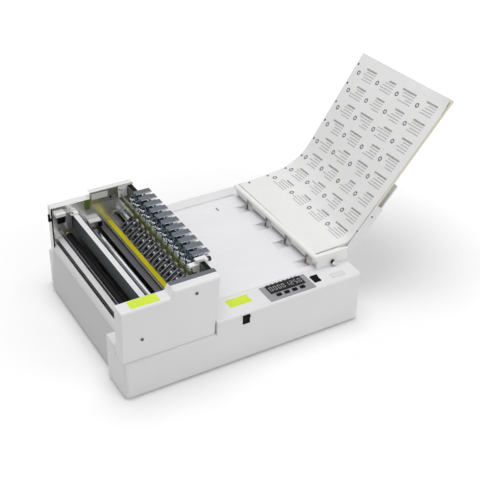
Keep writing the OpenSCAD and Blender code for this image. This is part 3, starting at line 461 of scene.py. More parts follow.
labelBlocks = {
    "plate": ((105, -2.2, 173.5), (166, 0, 201.5), 0.4, "plainSteel"),
    "block": ((165, -3.4, 174.5), (185, 0, 194.5), 0.6, "gateWhite"),
    "blockTop": ((165, -3.0, 194.5), (198, 0, 201.5), 0.5, "gateWhite"),
    "label": ((107, -2.6, 185), (142, -2.2, 198.5), 0.15, "labelGrey"),
    "topEdge": ((105, -2.8, 198.8), (198, -0.5, 202.4), 0.5, "guideGrey"),
}
labelHoles = {
    "upper": ((172.3, -3.3, 191.5), 1.5, 0.8, "Y", 20, 0.1, "keyBlackAndShade"),
    "beside": ((168, -3.3, 193), 1.5, 0.8, "Y", 20, 0.1, "keyBlackAndShade"),
    "lower": ((171.7, -3.3, 179.7), 1.5, 0.8, "Y", 20, 0.1, "keyBlackAndShade"),
    "wide": ((147.5, -3.3, 182), 2.2, 0.8, "Y", 20, 0.1, "keyBlackAndShade"),
}
labelLooks = ["plainSteel", "gateWhite", "labelGrey", "guideGrey", "keyBlackAndShade"]
bm = bmesh.new()
blocks(bm, labelBlocks, labelLooks, rearInside)
pegs(bm, labelHoles, labelLooks, rearInside)
settle("rearLabelBracket", bm, "chassis", labelLooks)

fittingBlocks = {
    "scaleTab": ((92, -0.7, 165), (103.5, 0, 188), 0.2, "scaleOlive"),
    "endStrip": ((20, -1.6, 77), (22.6, 0, 187), 0.3, "keyBlackAndShade"),
    "exitCap": ((27.5, -9, 168.5), (48.4, 0, 175.5), 0.6, "paleTrimAndLitBeamTop"),
    # a black block under the white cap, painted shade for a recess
    "exitRecessShade": ((31, -6, 152), (47, 0, 168.5), 0.5, "keyBlackAndShade"),
    "beamBlock": ((48.6, -7, 136), (60.8, 0, 174), 0.6, "guideGrey"),
    "beamCap": ((58, -12, 167.2), (74.5, 0, 170.2), 0.5, "paleTrimAndLitBeamTop"),
    "pinchCap": ((95, -14, 138), (121, 0, 141), 0.5, "paleTrimAndLitBeamTop"),
    "pinchBlock": ((96, -4, 122), (120, 0, 138), 0.5, "guideGrey"),
    "pinchEnd": ((116.6, -9, 122.6), (124.5, 0, 133), 0.5, "keyBlackAndShade"),
    "guideFoot": ((24, -5, 118), (31, 0, 127), 0.5, "paleTrimAndLitBeamTop"),
    "rodPlate": ((153, -2.4, 136.5), (182, 0, 144), 0.5, "plainSteel"),
}
fittingPegs = {
    # a black sleeve put where a strip of shade lies along the rods, painted shade
    "shadeSleeve": ((164, -15, 132.5), 3.2, 30, "Y", 32, 0.4, "keyBlackAndShade"),
    "rodScrewLeft": ((157.5, -2.6, 140.2), 1.8, 1.4, "Y", 20, 0.2, "screwSteel"),
    "rodScrewRight": ((178.5, -2.6, 140.2), 1.8, 1.4, "Y", 20, 0.2, "screwSteel"),
    "beamScrew": ((62.5, -8, 171), 2.2, 2, "Z", 20, 0.2, "screwSteel"),
    "exitScrew": ((34, -1, 137), 2.6, 2, "Y", 20, 0.2, "screwSteel"),
}
fittingLooks = ["scaleOlive", "keyBlackAndShade", "paleTrimAndLitBeamTop", "guideGrey", "screwSteel", "plainSteel"]
bm = bmesh.new()
blocks(bm, fittingBlocks, fittingLooks, rearInside)
pegs(bm, fittingPegs, fittingLooks, rearInside)
settle("rearFittings", bm, "chassis", fittingLooks)

hookBlocks = {"arm": ((13.5, -3, 166), (17.5, 1.3, 177), 0.6, "keyBlackAndShade"),
              "foot": ((13.5, -2, 160), (20, 1.3, 166), 0.6, "keyBlackAndShade")}
bm = bmesh.new()
blocks(bm, hookBlocks, ["keyBlackAndShade"], rearInside)
settle("rearHook", bm, "chassis", ["keyBlackAndShade"])
print("side plates dressed")

# Cross pieces
headRow = {"first": 95, "pitch": 24.5, "count": 11}  # the knife heads along y
# One bar finish: its top painted pale as a painted highlight, its sides near black as painted shade.
dressed("cross_beam", ["beamShadedSide", "paleTrimAndLitBeamTop"], edge=0.5, choose=topLook("paleTrimAndLitBeamTop", "beamShadedSide"))
dressed("blade_guard", ["guardYellow"], edge=0.3)
guardTicks = {"x": 138.2, "first": 112, "pitch": 5, "count": 46, "half": 0.2, "z": (126.55, 126.75),
              "long": 4.2, "short": 2.4, "longEvery": 5, "fall": 4.5 / 13}
bm = bmesh.new()
for k in range(guardTicks["count"]):
    y = guardTicks["first"] + k * guardTicks["pitch"]
    reach = guardTicks["short"] if k % guardTicks["longEvery"] else guardTicks["long"]
    slab(bm, (guardTicks["x"], y - guardTicks["half"], guardTicks["z"][0]),
         (guardTicks["x"] + reach, y + guardTicks["half"], guardTicks["z"][1]))
for vert in bm.verts:  # they follow the slope of the guard
    vert.co.z -= (inMachine(vert.co).x - guardTicks["x"]) * guardTicks["fall"] * mm
settle("guardTicks", bm, "chassis", ["guidePlateAndShade"])
dressed("cutting_anvil", ["anvilSteel"], edge=0.3)
stayRods = {"edge": 0.2, "shadedFrom": 182}
# Past shadedFrom the chrome rods are painted darker steel as painted shade between the arms.
dressed("stay_rods", ["chrome", "anvilSteel"], stayRods["edge"],
        lambda p, n: "anvilSteel" if p.x > stayRods["shadedFrom"] else "chrome")
dressed("head_rail", ["anvilSteel", "keyBlackAndShade"], edge=0.3, choose=topLook("keyBlackAndShade", "anvilSteel"))
# A dark sheet on the white deck under the heads, as painted shade seen through the gaps.
shadeUnderHeads = {"low": (168.6, 61, 106.0), "high": (214, 373, 106.25), "edge": 0.1}
bm = bmesh.new()
slab(bm, shadeUnderHeads["low"], shadeUnderHeads["high"], shadeUnderHeads["edge"])
settle("shadeSheetUnderHeads", bm, "chassis", ["guidePlateAndShade"])

guideEnds = {"bar": 42, "exitPlate": 50, "middle": 100, "dark": 133}  # x where each part of the guides ends


def guideLook(p, n):
    if p.x < guideEnds["bar"]:
        return "paleTrimAndLitBeamTop"
    if guideEnds["exitPlate"] <= p.x < guideEnds["middle"]:
        return "guideGrey"
    if guideEnds["middle"] <= p.x <= guideEnds["dark"]:
        return "guidePlateAndShade"
    # Past the dark plate, up-facing tops are painted light steel as a painted highlight.
    return "plateEdgeHighlight" if n.z > upward else "guidePlateAndShade"


dressed("sheet_guides", ["paleTrimAndLitBeamTop", "guidePlateAndShade", "plateEdgeHighlight", "guideGrey"], edge=0.3, choose=guideLook)
barNubs = {"x": (40.6, 42.6), "y": (141.5, 255), "z": (110.8, 116.5), "half": 3.5, "edge": 0.4}
bm = bmesh.new()
for y in barNubs["y"]:
    slab(bm, (barNubs["x"][0], y - barNubs["half"], barNubs["z"][0]),
         (barNubs["x"][1], y + barNubs["half"], barNubs["z"][1]), barNubs["edge"])
settle("barNubs", bm, "chassis", ["keyBlackAndShade"])
exitTrim = {"barLip": ((30.2, 33.2), (112.6, 115.5), 0.3, "paleTrimAndLitBeamTop"),
            "exitStrip": ((31.5, 35), (97, 103), 0.3, "guideGrey")}  # x, z, edge, finish
for name, ((x0, x1), (z0, z1), edge, look) in exitTrim.items():
    bm = bmesh.new()
    slab(bm, (x0, frontY, z0), (x1, rearY, z1), edge)
    settle(name, bm, "chassis", [look])

scaleBar = {"edge": 0.3, "whiteFrom": 180, "padX": (168.8, 172.9), "padZ": (168.5, 177.6), "padEdge": 0.4,
            "gap": 11.0, "firstY": 37}
scaleLooks = ["coverWhite", "guidePlateAndShade", "scaleOlive"]
bm = solidOf("scale_bar", scaleBar["edge"])
paint(bm, scaleLooks, lambda p, n: "coverWhite" if p.x > scaleBar["whiteFrom"] else "guidePlateAndShade")
for i in range(headRow["count"] + 1):  # an olive pad on each side of every head
    y0 = headRow["first"] + (i - 1) * headRow["pitch"] + scaleBar["gap"] / 2
    y1 = headRow["first"] + i * headRow["pitch"] - scaleBar["gap"] / 2
    slab(bm, (scaleBar["padX"][0], max(y0, scaleBar["firstY"]), scaleBar["padZ"][0]),
         (scaleBar["padX"][1], y1, scaleBar["padZ"][1]), scaleBar["padEdge"],
         look=scaleLooks.index("scaleOlive"))
settle("scaleBar", bm, "chassis", scaleLooks, ["scale_bar"])

stopBlocks = {"wing": ((165, 66, 192), (186, 78, 196), 1.6, "coverWhite"),
              "cap": ((178, 67, 200.8), (198, 77, 205.5), 2.0, "coverWhite"),
              "foot": ((174, 68, 178), (183.2, 75, 190), 1.8, "coverWhite")}
stopPegs = {"knob": ((207.5, 73, 196.5), 5.0, 7.4, "X", 32, 1.0, "knobBlack"),
            "shank": ((203.6, 73, 196.5), 2.4, 3.0, "X", 24, 0.3, "chrome")}
stopLooks = ["coverWhite", "knobBlack", "chrome"]
bm = bmesh.new()
blocks(bm, stopBlocks, stopLooks, segments=3)
pegs(bm, stopPegs, stopLooks)
settle("endStopLever", bm, "chassis", stopLooks)
print("cross pieces dressed")


# Rollers
def shaftLook(node, radius, shaft, outside):
    low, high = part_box(node)
    axis = inMachine((low + high) / 2)
    return lambda p, n: shaft if math.hypot(p.x - axis.x, p.z - axis.z) < radius else outside


rollers = {"upper_exit_roller": (0.4, 4.2, "rollerBlack"), "lower_exit_roller": (0.4, 4.2, "rollerBlack"),
           "pinch_roller": (0.4, 4.2, "chrome"), "drive_roller": (0.4, 4.2, "rollerGrey"),
           "feed_shaft": (0.8, 3.3, "wheelRubber")}  # edge, reach of the shaft, finish
for node, (edge, radius, look) in rollers.items():
    dressed(node, ["plainSteel", look], edge, shaftLook(node, radius, "plainSteel", look))
dressed("bearings", ["bushBrass"], edge=0.2)
dressed("drive_belt", ["beltBlack"], edge=0.2)
dressed("gear_motors", ["motorGrey"], edge=0.6)
print("rollers dressed")

# Knife heads and arms
head = {"edge": 0.25, "bracketX": 183.8, "plateZ": 198.9, "knobX": 205.4, "collarX": (209.5, 212.5),
        "shadedAbove": 191.5, "plungerX": 179}
headLooks = ["darkSteelAndFlangeShade", "chrome", "streakSteel", "knobBlack", "paleTrimAndLitBeamTop", "plungerShade"]
plungerTip = {"z": 197.4, "radius": 2.0, "tip": 1.6, "length": 3.0, "sides": 20, "edge": 0.5}
plungerSpring = {"radius": 4.8, "wire": 0.55, "z": (161, 182), "turns": 7, "stepsInTurn": 12, "sides": 6}
# The chrome strip along the top plate's front edge is a painted highlight.
headBlocks = {"plateEdgeHighlight": ((184.4, -8.25, 200.2), (218.1, -7.45, 200.85), 0.15, "chrome"),
              "bracketFace": ((183.7, -7.7, 190), (184, 7.7, 198.7), 0.1, "streakSteel")}  # y from the head
headPegs = {"tabScrewFront": ((175.4, -3, 190.1), 1.3, 1.4, "Z", 16, 0.25, "chrome"),
            "tabScrewRear": ((175.4, 3, 190.1), 1.3, 1.4, "Z", 16, 0.25, "chrome")}
headTrimLooks = ["chrome", "streakSteel", "plungerShade"]

arm = {"edge": 0.2, "pivot": (187, 148), "slope": 35, "flangeFrom": 3.35, "bladeBelow": 119}
armLooks = ["armSteel", "armEdgeHighlight", "coolSteel"]
# flangeEdgeHighlight is a thin strip along the flange edge, a painted highlight.
armBlocks = {"flangeEdgeHighlight": ((-41.7, -7.25, 3.5), (-9.3, -6.35, 3.85), 0.1, "coolSteel"),
             "bridge": ((-25.6, -3.4, 1.2), (-23, 3.4, 3.2), 0.4, "coolSteel"),
             "pad": ((-35, -4.4, 1.2), (-28, 4.4, 2.2), 0.4, "keyBlackAndShade")}  # from the pivot, before the slope
armPegs = {"bladeScrew": ((-38.5, 0, 1.7), 2.2, 1.2, "Z", 20, 0.3, "keyBlackAndShade"),
           "clampScrew": ((-15.5, 0, 2.2), 2.4, 2.2, "Z", 20, 0.3, "keyBlackAndShade")}
armTrimLooks = ["coolSteel", "keyBlackAndShade"]
armTurn = Matrix.Rotation(math.radians(-arm["slope"]), 3, "Y")


def headLook(p, n):
    # The chrome plunger is painted dark above shadedAbove, as painted shade under the top plate.
    if p.x < head["bracketX"]:
        return "plungerShade" if p.z > head["shadedAbove"] else "chrome"
    if p.z > head["plateZ"]:
        return "darkSteelAndFlangeShade"
    if p.x > head["knobX"]:
        return "paleTrimAndLitBeamTop" if head["collarX"][0] < p.x < head["collarX"][1] else "knobBlack"
    return "streakSteel"


def armLook(p, n):
    slope = math.radians(arm["slope"])
    off = -(p.x - arm["pivot"][0]) * math.sin(slope) + (p.z - arm["pivot"][1]) * math.cos(slope)
    # The flange beyond flangeFrom is painted light steel as a painted highlight on the dark arm.
    if off > arm["flangeFrom"]:
        return "armEdgeHighlight"
    return "coolSteel" if p.z < arm["bladeBelow"] else "armSteel"


def spring(bm, y, look):
    x, (low, high) = head["plungerX"], plungerSpring["z"]
    turns, sides = plungerSpring["turns"], plungerSpring["sides"]
    ring = bmesh.ops.create_circle(bm, segments=sides, radius=plungerSpring["wire"] * mm)["verts"]
    bmesh.ops.rotate(bm, cent=(0, 0, 0), matrix=Matrix.Rotation(math.pi / 2, 3, "X"), verts=ring)
    bmesh.ops.translate(bm, vec=at(x + plungerSpring["radius"], y, low), verts=ring)
    steps = plungerSpring["stepsInTurn"] * turns
    edges = list({e for v in ring for e in v.link_edges})
    before = set(bm.faces)
    bmesh.ops.spin(bm, geom=ring + edges, cent=at(x, y, low), axis=(0, 0, 1),
                   dvec=Vector((0, 0, (high - low) / steps * mm)), angle=2 * math.pi * turns, steps=steps)
    ends = {e for f in bm.faces if f not in before for e in f.edges if len(e.link_faces) == 1}
    bmesh.ops.holes_fill(bm, edges=list(ends), sides=sides)
    coil = [f for f in bm.faces if f not in before]
    bmesh.ops.recalc_face_normals(bm, faces=coil)
    for face in coil:
        face.material_index = look


for i in range(1, headRow["count"] + 1):
    y = headRow["first"] + (i - 1) * headRow["pitch"]
    headNode, armNode = "knife_head_%d" % i, "knife_arm_%d" % i
    dressed(headNode, headLooks, head["edge"], headLook, like="knife_head_1")
    bm = bmesh.new()
    blocks(bm, headBlocks, headTrimLooks, (0, y, 0))
    spring(bm, y, headTrimLooks.index("chrome"))
    pegs(bm, headPegs, headTrimLooks, (0, y, 0))
    # The plunger tip under the plate is painted dark as painted shade.
    peg(bm, (head["plungerX"], y, plungerTip["z"]), plungerTip["radius"], plungerTip["length"], "Z",
        plungerTip["sides"], plungerTip["edge"], headTrimLooks.index("plungerShade"), plungerTip["tip"])
    settle("headTrim%d" % i, bm, headNode, headTrimLooks)

    dressed(armNode, armLooks, arm["edge"], armLook, like="knife_arm_1")
    pivot = (arm["pivot"][0], y, arm["pivot"][1])
    bm = bmesh.new()
    blocks(bm, armBlocks, armTrimLooks, pivot)
    pegs(bm, armPegs, armTrimLooks, pivot)
    bmesh.ops.rotate(bm, cent=at(*pivot), matrix=armTurn, verts=bm.verts)
    settle("armTrim%d" % i, bm, armNode, armTrimLooks)
print("knife heads and arms dressed")

# Controls
panel = {"edge": 0.3, "windowFrom": 107.22, "windowX": (317.5, 395.5), "windowFront": 26}
buttons = {"count": 4, "edge": 0.6}
knob = {"edge": 0.4, "capNormal": -0.9, "gripTo": 54.5}
electronics = {"edge": 0.2, "switchZ": 60, "switchX": (300, 405), "supplyY": 255}


def knobLook(p, n):
    if n.y < knob["capNormal"]:
        return "chrome"
    return "knobBlack" if p.y < knob["gripTo"] else "plainSteel"


def electronicsLook(p, n):
    stripTo, frontFrom = electronics["switchX"]
    if p.x > frontFrom or p.x < stripTo and p.z > electronics["switchZ"]:
        return "keyBlackAndShade"
    return "motorGrey" if p.y > electronics["supplyY"] else "boardGreen"


dressed("control_panel", ["panelGrey", "windowBlack"], panel["edge"],
        lambda p, n: "windowBlack" if p.z > panel["windowFrom"] else "panelGrey")
for i in range(1, buttons["count"] + 1):
    dressed("button_%d" % i, ["keyBlackAndShade"], buttons["edge"], segments=3)
dressed("strip_rocker", ["keyBlackAndShade"], edge=0.5)
dressed("front_rocker", ["keyBlackAndShade"], edge=0.5)
dressed("tray_knob", ["knobBlack", "plainSteel", "chrome"], knob["edge"], knobLook)
dressed("mains_inlet", ["keyBlackAndShade"], edge=0.4)
dressed("control_electronics", ["boardGreen", "motorGrey", "keyBlackAndShade"], electronics["edge"], electronicsLook)

digits = {"shown": "00001250", "pitch": 9.2, "size": (5.8, 12.5), "bar": 1.2, "inset": (1.6, 6),
          "z": (108.35, 108.48), "flatGap": 0.7, "uprightGap": 0.4}  # gaps as shares of a bar
bars = {"a": (0, 1, 1), "b": (1, 1, 0), "c": (1, 0, 0), "d": (0, 0, 1), "e": (0, 0, 0), "f": (0, 1, 0),
        "g": (0, 0.5, 1)}  # how far right, how far up, whether it lies flat
lit = {"0": "abcdef", "1": "bc", "2": "abged", "5": "afgcd"}
wide, tall = digits["size"]
bar = digits["bar"]
z0, z1 = digits["z"]
bm = bmesh.new()
for k, digit in enumerate(digits["shown"]):
    place = (k - len(digits["shown"]) / 2) * digits["pitch"]
    x0 = sum(panel["windowX"]) / 2 + place + digits["inset"][0]
    y0 = panel["windowFront"] + digits["inset"][1]
    for letter in lit[digit]:
        right, up, flat = bars[letter]
        if flat:
            gap = digits["flatGap"] * bar
            y = y0 + up * (tall - bar)
            slab(bm, (x0 + gap, y, z0), (x0 + wide - gap, y + bar, z1))
        else:
            gap = digits["uprightGap"] * bar
            x = x0 + right * (wide - bar)
            y = y0 + up * tall / 2
            slab(bm, (x, y + gap, z0), (x + bar, y + tall / 2 - gap, z1))
settle("displayDigits", bm, "chassis", ["digitPale"])

panelTicks = {"first": 322, "pitch": 9.2, "count": 8, "length": 5.6, "y": (53.8, 55.8), "z": (105.9, 106.12)}
bm = bmesh.new()
for k in range(panelTicks["count"]):
    x = panelTicks["first"] + k * panelTicks["pitch"]
    slab(bm, (x, panelTicks["y"][0], panelTicks["z"][0]),
         (x + panelTicks["length"], panelTicks["y"][1], panelTicks["z"][1]))
settle("panelTicks", bm, "chassis", ["keyBlackAndShade"])
print("controls dressed")

# Cover screws with a crossed recess
coverScrews = {"spots": ((38, 121), (147, 183)), "covers": ((5, 0, -1), (400, 20, 1)), "radius": 3,
               "length": 1.8, "sides": 32, "edge": 0.5, "cross": (1.8, 0.35), "crossAt": 1.7,
               "crossHalf": 0.15}
bm = bmesh.new()
for x, frontZ in coverScrews["spots"]:
    for wall, lower, out in coverScrews["covers"]:  # y of the wall, how much lower, way out
        y, z = wall + out * coverScrews["length"] / 2, frontZ - lower
        peg(bm, (x, y, z), coverScrews["radius"], coverScrews["length"], "Y", coverScrews["sides"],
            coverScrews["edge"])
        y, half = wall + out * coverScrews["crossAt"], coverScrews["crossHalf"]
        for reach, rise in (coverScrews["cross"], coverScrews["cross"][::-1]):
            slab(bm, (x - reach, y - half, z - rise), (x + reach, y + half, z + rise), look=1)
settle("coverScrews", bm, "chassis", ["screwSteel", "keyBlackAndShade"], ["screws"])

# Feed tray
tray = {"edge": 0.7, "gateTo": 446, "supportFrom": 124, "cheekTo": 61.2}


def trayLook(p, n):
    pale = p.x < tray["gateTo"] or p.z > tray["supportFrom"] or p.y < tray["cheekTo"]
    return "gateWhite" if pale else "trayCream"


dressed("feed_tray", ["trayCream", "gateWhite"], tray["edge"], trayLook)
dressed("side_guide", ["coverWhite"], edge=0.5)
guideScrews = {"upper": ((572.5, 64.65, 182.5), 2.0, 1.0, "Y", 24, 0.25, "screwSteel"),
               "lower": ((538.4, 64.65, 159.8), 2.0, 1.0, "Y", 24, 0.25, "screwSteel")}
bm = bmesh.new()
pegs(bm, guideScrews, ["screwSteel"])
settle("guideScrews", bm, "side_guide", ["screwSteel"])
trayBack = {"low": (504.8, 64.2, 105.9), "high": (506.8, 369.8, 122.9), "edge": 0.4}
bm = bmesh.new()
slab(bm, trayBack["low"], trayBack["high"], trayBack["edge"])
settle("trayBack", bm, "chassis", ["trayCream"])
pockets = {"first": 86, "pitch": 77, "count": 4, "sideAt": 13.5, "half": 0.4, "x": (408, 441), "z": (90, 103),
           "edge": 0.1}
bm = bmesh.new()
for k in range(pockets["count"]):
    for side in (-1, 1):
        y = pockets["first"] + k * pockets["pitch"] + side * pockets["sideAt"]
        slab(bm, (pockets["x"][0], y - pockets["half"], pockets["z"][0]),
             (pockets["x"][1], y + pockets["half"], pockets["z"][1]), pockets["edge"])
settle("pocketSides", bm, "chassis", ["gateWhite"])
print("feed tray dressed")

# Stack of label sheets
stack = {"front": {"x": 443.5, "z": 133.4, "flat": 62, "slope": 2, "radius": 42, "steep": 50},
         "rear": {"x": 443.5, "z": 136.4, "flat": 95, "slope": 6, "radius": 115, "steep": 56},
         "length": 420, "width": 297, "y": 69, "lines": 84, "across": 20,
         "block": 6.3, "blockLift": -0.5, "cutFrom": 6.0, "layersAbove": 165}
topSheet = {"thick": 0.3, "ripple": 1.2, "waves": (2.2, 7), "flatTo": 0.25, "curl": 6.0, "curlWidth": 0.22,
            "curlFrom": 0.9, "linerAbove": 190, "printUp": 0.05, "printRight": 0.3}


def edgePoint(edge, s):
    first, last = math.radians(edge["slope"]), math.radians(edge["steep"])
    flat, radius = edge["flat"], edge["radius"]
    slope = first if s < flat else min(last, first + (s - flat) / radius)
    run = min(s, flat)
    rest = max(0.0, s - flat - radius * (last - first))
    x = run * math.cos(first) + radius * (math.sin(slope) - math.sin(first)) + rest * math.cos(last)
    z = run * math.sin(first) + radius * (math.cos(first) - math.cos(slope)) + rest * math.sin(last)
    return edge["x"] + x, edge["z"] + z, slope


def sheetPoint(u, v, lift):
    fx, fz, fa = edgePoint(stack["front"], v * stack["length"])
    rx, rz, ra = edgePoint(stack["rear"], v * stack["length"])
    x, z, a = fx + u * (rx - fx), fz + u * (rz - fz), fa + u * (ra - fa)
    return at(x - lift * math.sin(a), stack["y"] + u * stack["width"], z + lift * math.cos(a))


def waveAt(u, v):
    across, along = topSheet["waves"]
    swell = 0.5 + 0.5 * math.sin(along * v + across * u)
    ripple = topSheet["ripple"] * swell * max(0.0, v - topSheet["flatTo"])
    up = max(0.0, (v - topSheet["curlFrom"]) / (1 - topSheet["curlFrom"]))
    near = max(0.0, 1 - u / topSheet["curlWidth"])
    return ripple + topSheet["curl"] * up ** 2 * near ** 2


def sheetBlock(lift, thickness, waved):
    bm = bmesh.new()
    uvLayer = bm.loops.layers.uv.new("sheet")
    made = bmesh.ops.create_grid(bm, x_segments=stack["across"], y_segments=stack["lines"], size=0.5)["verts"]
    for face in bm.faces:
        for loop in face.loops:
            loop[uvLayer].uv = (loop.vert.co.x + 0.5, loop.vert.co.y + 0.5)
    for vert in made:
        u, v = vert.co.x + 0.5, vert.co.y + 0.5
        vert.co = sheetPoint(u, v, lift + (waveAt(u, v) if waved else 0))
    bmesh.ops.recalc_face_normals(bm, faces=bm.faces)
    if sum(f.normal.z for f in bm.faces) < 0:
        bmesh.ops.reverse_faces(bm, faces=bm.faces)
    bmesh.ops.solidify(bm, geom=list(bm.faces), thickness=thickness * mm)
    bm.normal_update()
    return bm


bm = sheetBlock(stack["blockLift"], stack["block"], waved=False)
for face in bm.faces:
    shortest = min(e.calc_length() for e in face.edges)
    cut = abs(face.normal.y) > upward or shortest > stack["cutFrom"] * mm  # sides and ends of the block
    high = inMachine(face.calc_center_median()).z > stack["layersAbove"]
    face.material_index = 1 if cut and high else 0
settle("sheetStack", bm, "sheet_stack", ["paperPlain", "paperEdges"], ["sheet_stack"])

sheetPrint = {"columns": 4, "rows": 8, "lines": 7, "u": (0.04, 0.96), "v": (0.14, 0.96),
              "lineFrom": 0.1, "lineTo": 0.42, "lineSpread": 0.34, "dashes": 170, "dashShare": 0.62,
              "thin": (0.3, 0.68), "thinLines": (0.5, 4.5), "thinInk": 0.7,
              "bold": (0.15, 0.8), "boldLines": (4.5, 5.5), "boldInk": 0.97,
              "ringAt": (0.86, 0.42), "cell": (68, 43), "ring": (2.6, 5.2), "ringInk": 0.9,
              "markU": (0.972, 0.988), "marks": 9, "mark": (0.4, 0.5), "ink": (0.02, 0.02, 0.022, 1),
              "paper": ((0.83, 0.83, 0.825), (0.85, 0.85, 0.845)), "clouds": 30, "fibres": 1600,
              "rough": 0.55, "bump": 0.06}


def printedSheet():
    material, tree, shader = nodesOf("printedSheet")
    place = tree.nodes.new("ShaderNodeUVMap")
    place.uv_map = "sheet"
    split = tree.nodes.new("ShaderNodeSeparateXYZ")
    tree.links.new(place.outputs["UV"], split.inputs["Vector"])

    def calc(kind, a, b=None):
        node = tree.nodes.new("ShaderNodeMath")
        node.operation = kind
        for socket, value in zip(node.inputs, (a, b)):
            if value is None:
                continue
            if isinstance(value, (int, float)):
                socket.default_value = value
            else:
                tree.links.new(value, socket)
        return node.outputs["Value"]

    def times(a, b):
        return calc("MULTIPLY", a, b)

    def between(value, span):
        return times(calc("GREATER_THAN", value, span[0]), calc("LESS_THAN", value, span[1]))

    def cells(value, span, count):
        return times(calc("SUBTRACT", value, span[0]), count / (span[1] - span[0]))

    u, v = split.outputs["X"], split.outputs["Y"]
    inside = times(between(u, sheetPrint["u"]), between(v, sheetPrint["v"]))
    cellU = cells(u, sheetPrint["u"], sheetPrint["columns"])
    cellV = cells(v, sheetPrint["v"], sheetPrint["rows"])
    partU, partV = calc("FRACT", cellU), calc("FRACT", cellV)
    lineV = times(partV, sheetPrint["lines"])
    lineNo, linePart = calc("FLOOR", lineV), calc("FRACT", lineV)

    # lines of text, each of its own length
    joined = tree.nodes.new("ShaderNodeCombineXYZ")
    tree.links.new(calc("FLOOR", cellU), joined.inputs["X"])
    tree.links.new(calc("FLOOR", cellV), joined.inputs["Y"])
    tree.links.new(lineNo, joined.inputs["Z"])
    chance = tree.nodes.new("ShaderNodeTexWhiteNoise")
    chance.noise_dimensions = "3D"
    tree.links.new(joined.outputs["Vector"], chance.inputs["Vector"])
    reach = calc("ADD", times(chance.outputs["Value"], sheetPrint["lineSpread"]), sheetPrint["lineTo"])
    line = times(calc("GREATER_THAN", partU, sheetPrint["lineFrom"]), calc("LESS_THAN", partU, reach))
    dash = calc("LESS_THAN", calc("FRACT", times(u, sheetPrint["dashes"])), sheetPrint["dashShare"])
    thin = times(between(linePart, sheetPrint["thin"]), between(lineNo, sheetPrint["thinLines"]))
    bold = times(between(linePart, sheetPrint["bold"]), between(lineNo, sheetPrint["boldLines"]))
    weight = calc("ADD", times(thin, sheetPrint["thinInk"]), times(bold, sheetPrint["boldInk"]))
    text = times(times(line, dash), weight)

    # a ring in each cell, and marks along the edge
    side, rise = (times(calc("SUBTRACT", part, middle), size) for part, middle, size
                  in zip((partU, partV), sheetPrint["ringAt"], sheetPrint["cell"]))
    far = calc("SQRT", calc("ADD", times(side, side), times(rise, rise)))
    ring = times(between(far, sheetPrint["ring"]), sheetPrint["ringInk"])
    marks = between(calc("FRACT", times(v, sheetPrint["marks"])), sheetPrint["mark"])
    marks = times(between(u, sheetPrint["markU"]), marks)
    ink = calc("MAXIMUM", times(calc("MAXIMUM", text, ring), inside), marks)

    blend = tree.nodes.new("ShaderNodeMix")
    blend.data_type = "RGBA"
    tree.links.new(ink, blend.inputs["Factor"])
    paper = rampOf(tree, noiseIn(tree, sheetPrint["clouds"]), *sheetPrint["paper"])
    tree.links.new(paper, blend.inputs["A"])
    blend.inputs["B"].default_value = sheetPrint["ink"]
    tree.links.new(blend.outputs["Result"], shader.inputs["Base Color"])
    shader.inputs["Roughness"].default_value = sheetPrint["rough"]
    addRelief(tree, shader, noiseIn(tree, sheetPrint["fibres"]), sheetPrint["bump"])
    return material


finishes["printedSheet"] = printedSheet()
bm = sheetBlock(0.0, topSheet["thick"], waved=True)
for face in bm.faces:
    upper = face.normal.z > topSheet["printUp"] and face.normal.x < topSheet["printRight"]
    high = inMachine(face.calc_center_median()).z > topSheet["linerAbove"]
    if upper and abs(face.normal.y) < upward:
        face.material_index = 0
    else:
        face.material_index = 1 if high else 2
settle("topSheet", bm, "sheet_stack", ["printedSheet", "linerYellow", "paperPlain"])
print("sheets laid")

# Floor, light and camera
studio = {"floorSize": 30, "floorTone": (0.93, 0.93, 0.93, 1), "floorRough": 0.9, "white": (1, 1, 1, 1),
          "glow": (0.12, 0.5), "glowReach": (0.30, 1.3), "world": (0.40, 1.0)}
softBoxes = {"topBox": ((-0.1, 0.2, 2.3), 1.6, 26),
             "frontBox": ((0.7, -2.0, 1.1), 1.2, 9.5)}  # place, size, power
lightAim = (0, 0, 0.1)
view = {"place": (-533.5, -1281.7, 1262.4), "right": (0.8659, -0.4997, 0.0208),
        "up": (0.2613, 0.4874, 0.8331), "back": (-0.4265, -0.7160, 0.5527),
        "focal": 1023, "frame": 480, "sensor": 36, "clip": (0.05, 60)}


def seenRays(tree):  # rays that show a surface, straight or in a mirror
    path = tree.nodes.new("ShaderNodeLightPath")
    seen = path.outputs["Is Camera Ray"]
    for ray in ("Is Glossy Ray", "Is Transmission Ray"):
        either = tree.nodes.new("ShaderNodeMath")
        either.operation = "MAXIMUM"
        tree.links.new(seen, either.inputs[0])
        tree.links.new(path.outputs[ray], either.inputs[1])
        seen = either.outputs["Value"]
    return seen


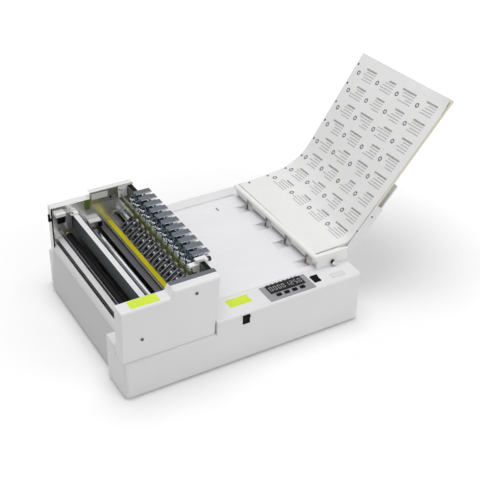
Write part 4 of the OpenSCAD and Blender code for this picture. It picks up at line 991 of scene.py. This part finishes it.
bpy.ops.mesh.primitive_plane_add(size=studio["floorSize"], location=(0, 0, 0))
floor = bpy.context.object
floor.name = "studioFloor"
floorLook, tree, shader = nodesOf("studioFloor")
shader.inputs["Base Color"].default_value = studio["floorTone"]
shader.inputs["Roughness"].default_value = studio["floorRough"]
where = tree.nodes.new("ShaderNodeTexCoord")
away = tree.nodes.new("ShaderNodeVectorMath")
away.operation = "LENGTH"
tree.links.new(where.outputs["Object"], away.inputs[0])
glow = tree.nodes.new("ShaderNodeMath")
glow.operation = "MULTIPLY"
tree.links.new(seenRays(tree), glow.inputs[0])
tree.links.new(spanOf(tree, away.outputs["Value"], *studio["glow"], *studio["glowReach"]), glow.inputs[1])
shader.inputs["Emission Color"].default_value = studio["white"]
tree.links.new(glow.outputs["Value"], shader.inputs["Emission Strength"])
floor.data.materials.append(floorLook)
floor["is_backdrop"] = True

world = bpy.data.worlds.new("studio")
bpy.context.scene.world = world
world.use_nodes = True
tree = world.node_tree
back = tree.nodes["Background"]
back.inputs["Color"].default_value = studio["white"]
tree.links.new(spanOf(tree, seenRays(tree), *studio["world"]), back.inputs["Strength"])

for name, (place, size, power) in softBoxes.items():
    light = bpy.data.lights.new(name, "AREA")
    light.shape = "SQUARE"
    light.size = size
    light.energy = power
    lamp = bpy.data.objects.new(name, light)
    lamp.location = place
    lamp.rotation_mode = "QUATERNION"
    lamp.rotation_quaternion = (Vector(lightAim) - Vector(place)).to_track_quat("-Z", "Y")
    bpy.context.scene.collection.objects.link(lamp)

lens = bpy.data.cameras.new("photoView")
lens.sensor_width = view["sensor"]
lens.lens = view["sensor"] * view["focal"] / view["frame"]
lens.clip_start, lens.clip_end = view["clip"]
camera = bpy.data.objects.new("photoView", lens)
turn = Matrix((view["right"], view["up"], view["back"])).transposed()
camera.rotation_mode = "QUATERNION"
camera.rotation_quaternion = turn.to_quaternion().normalized()
camera.location = at(*view["place"])
bpy.context.scene.collection.objects.link(camera)
bpy.context.scene.camera = camera
bpy.context.scene.view_settings.view_transform = "Standard"
print("studio set")

bpy.context.view_layer.update()
low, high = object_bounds()
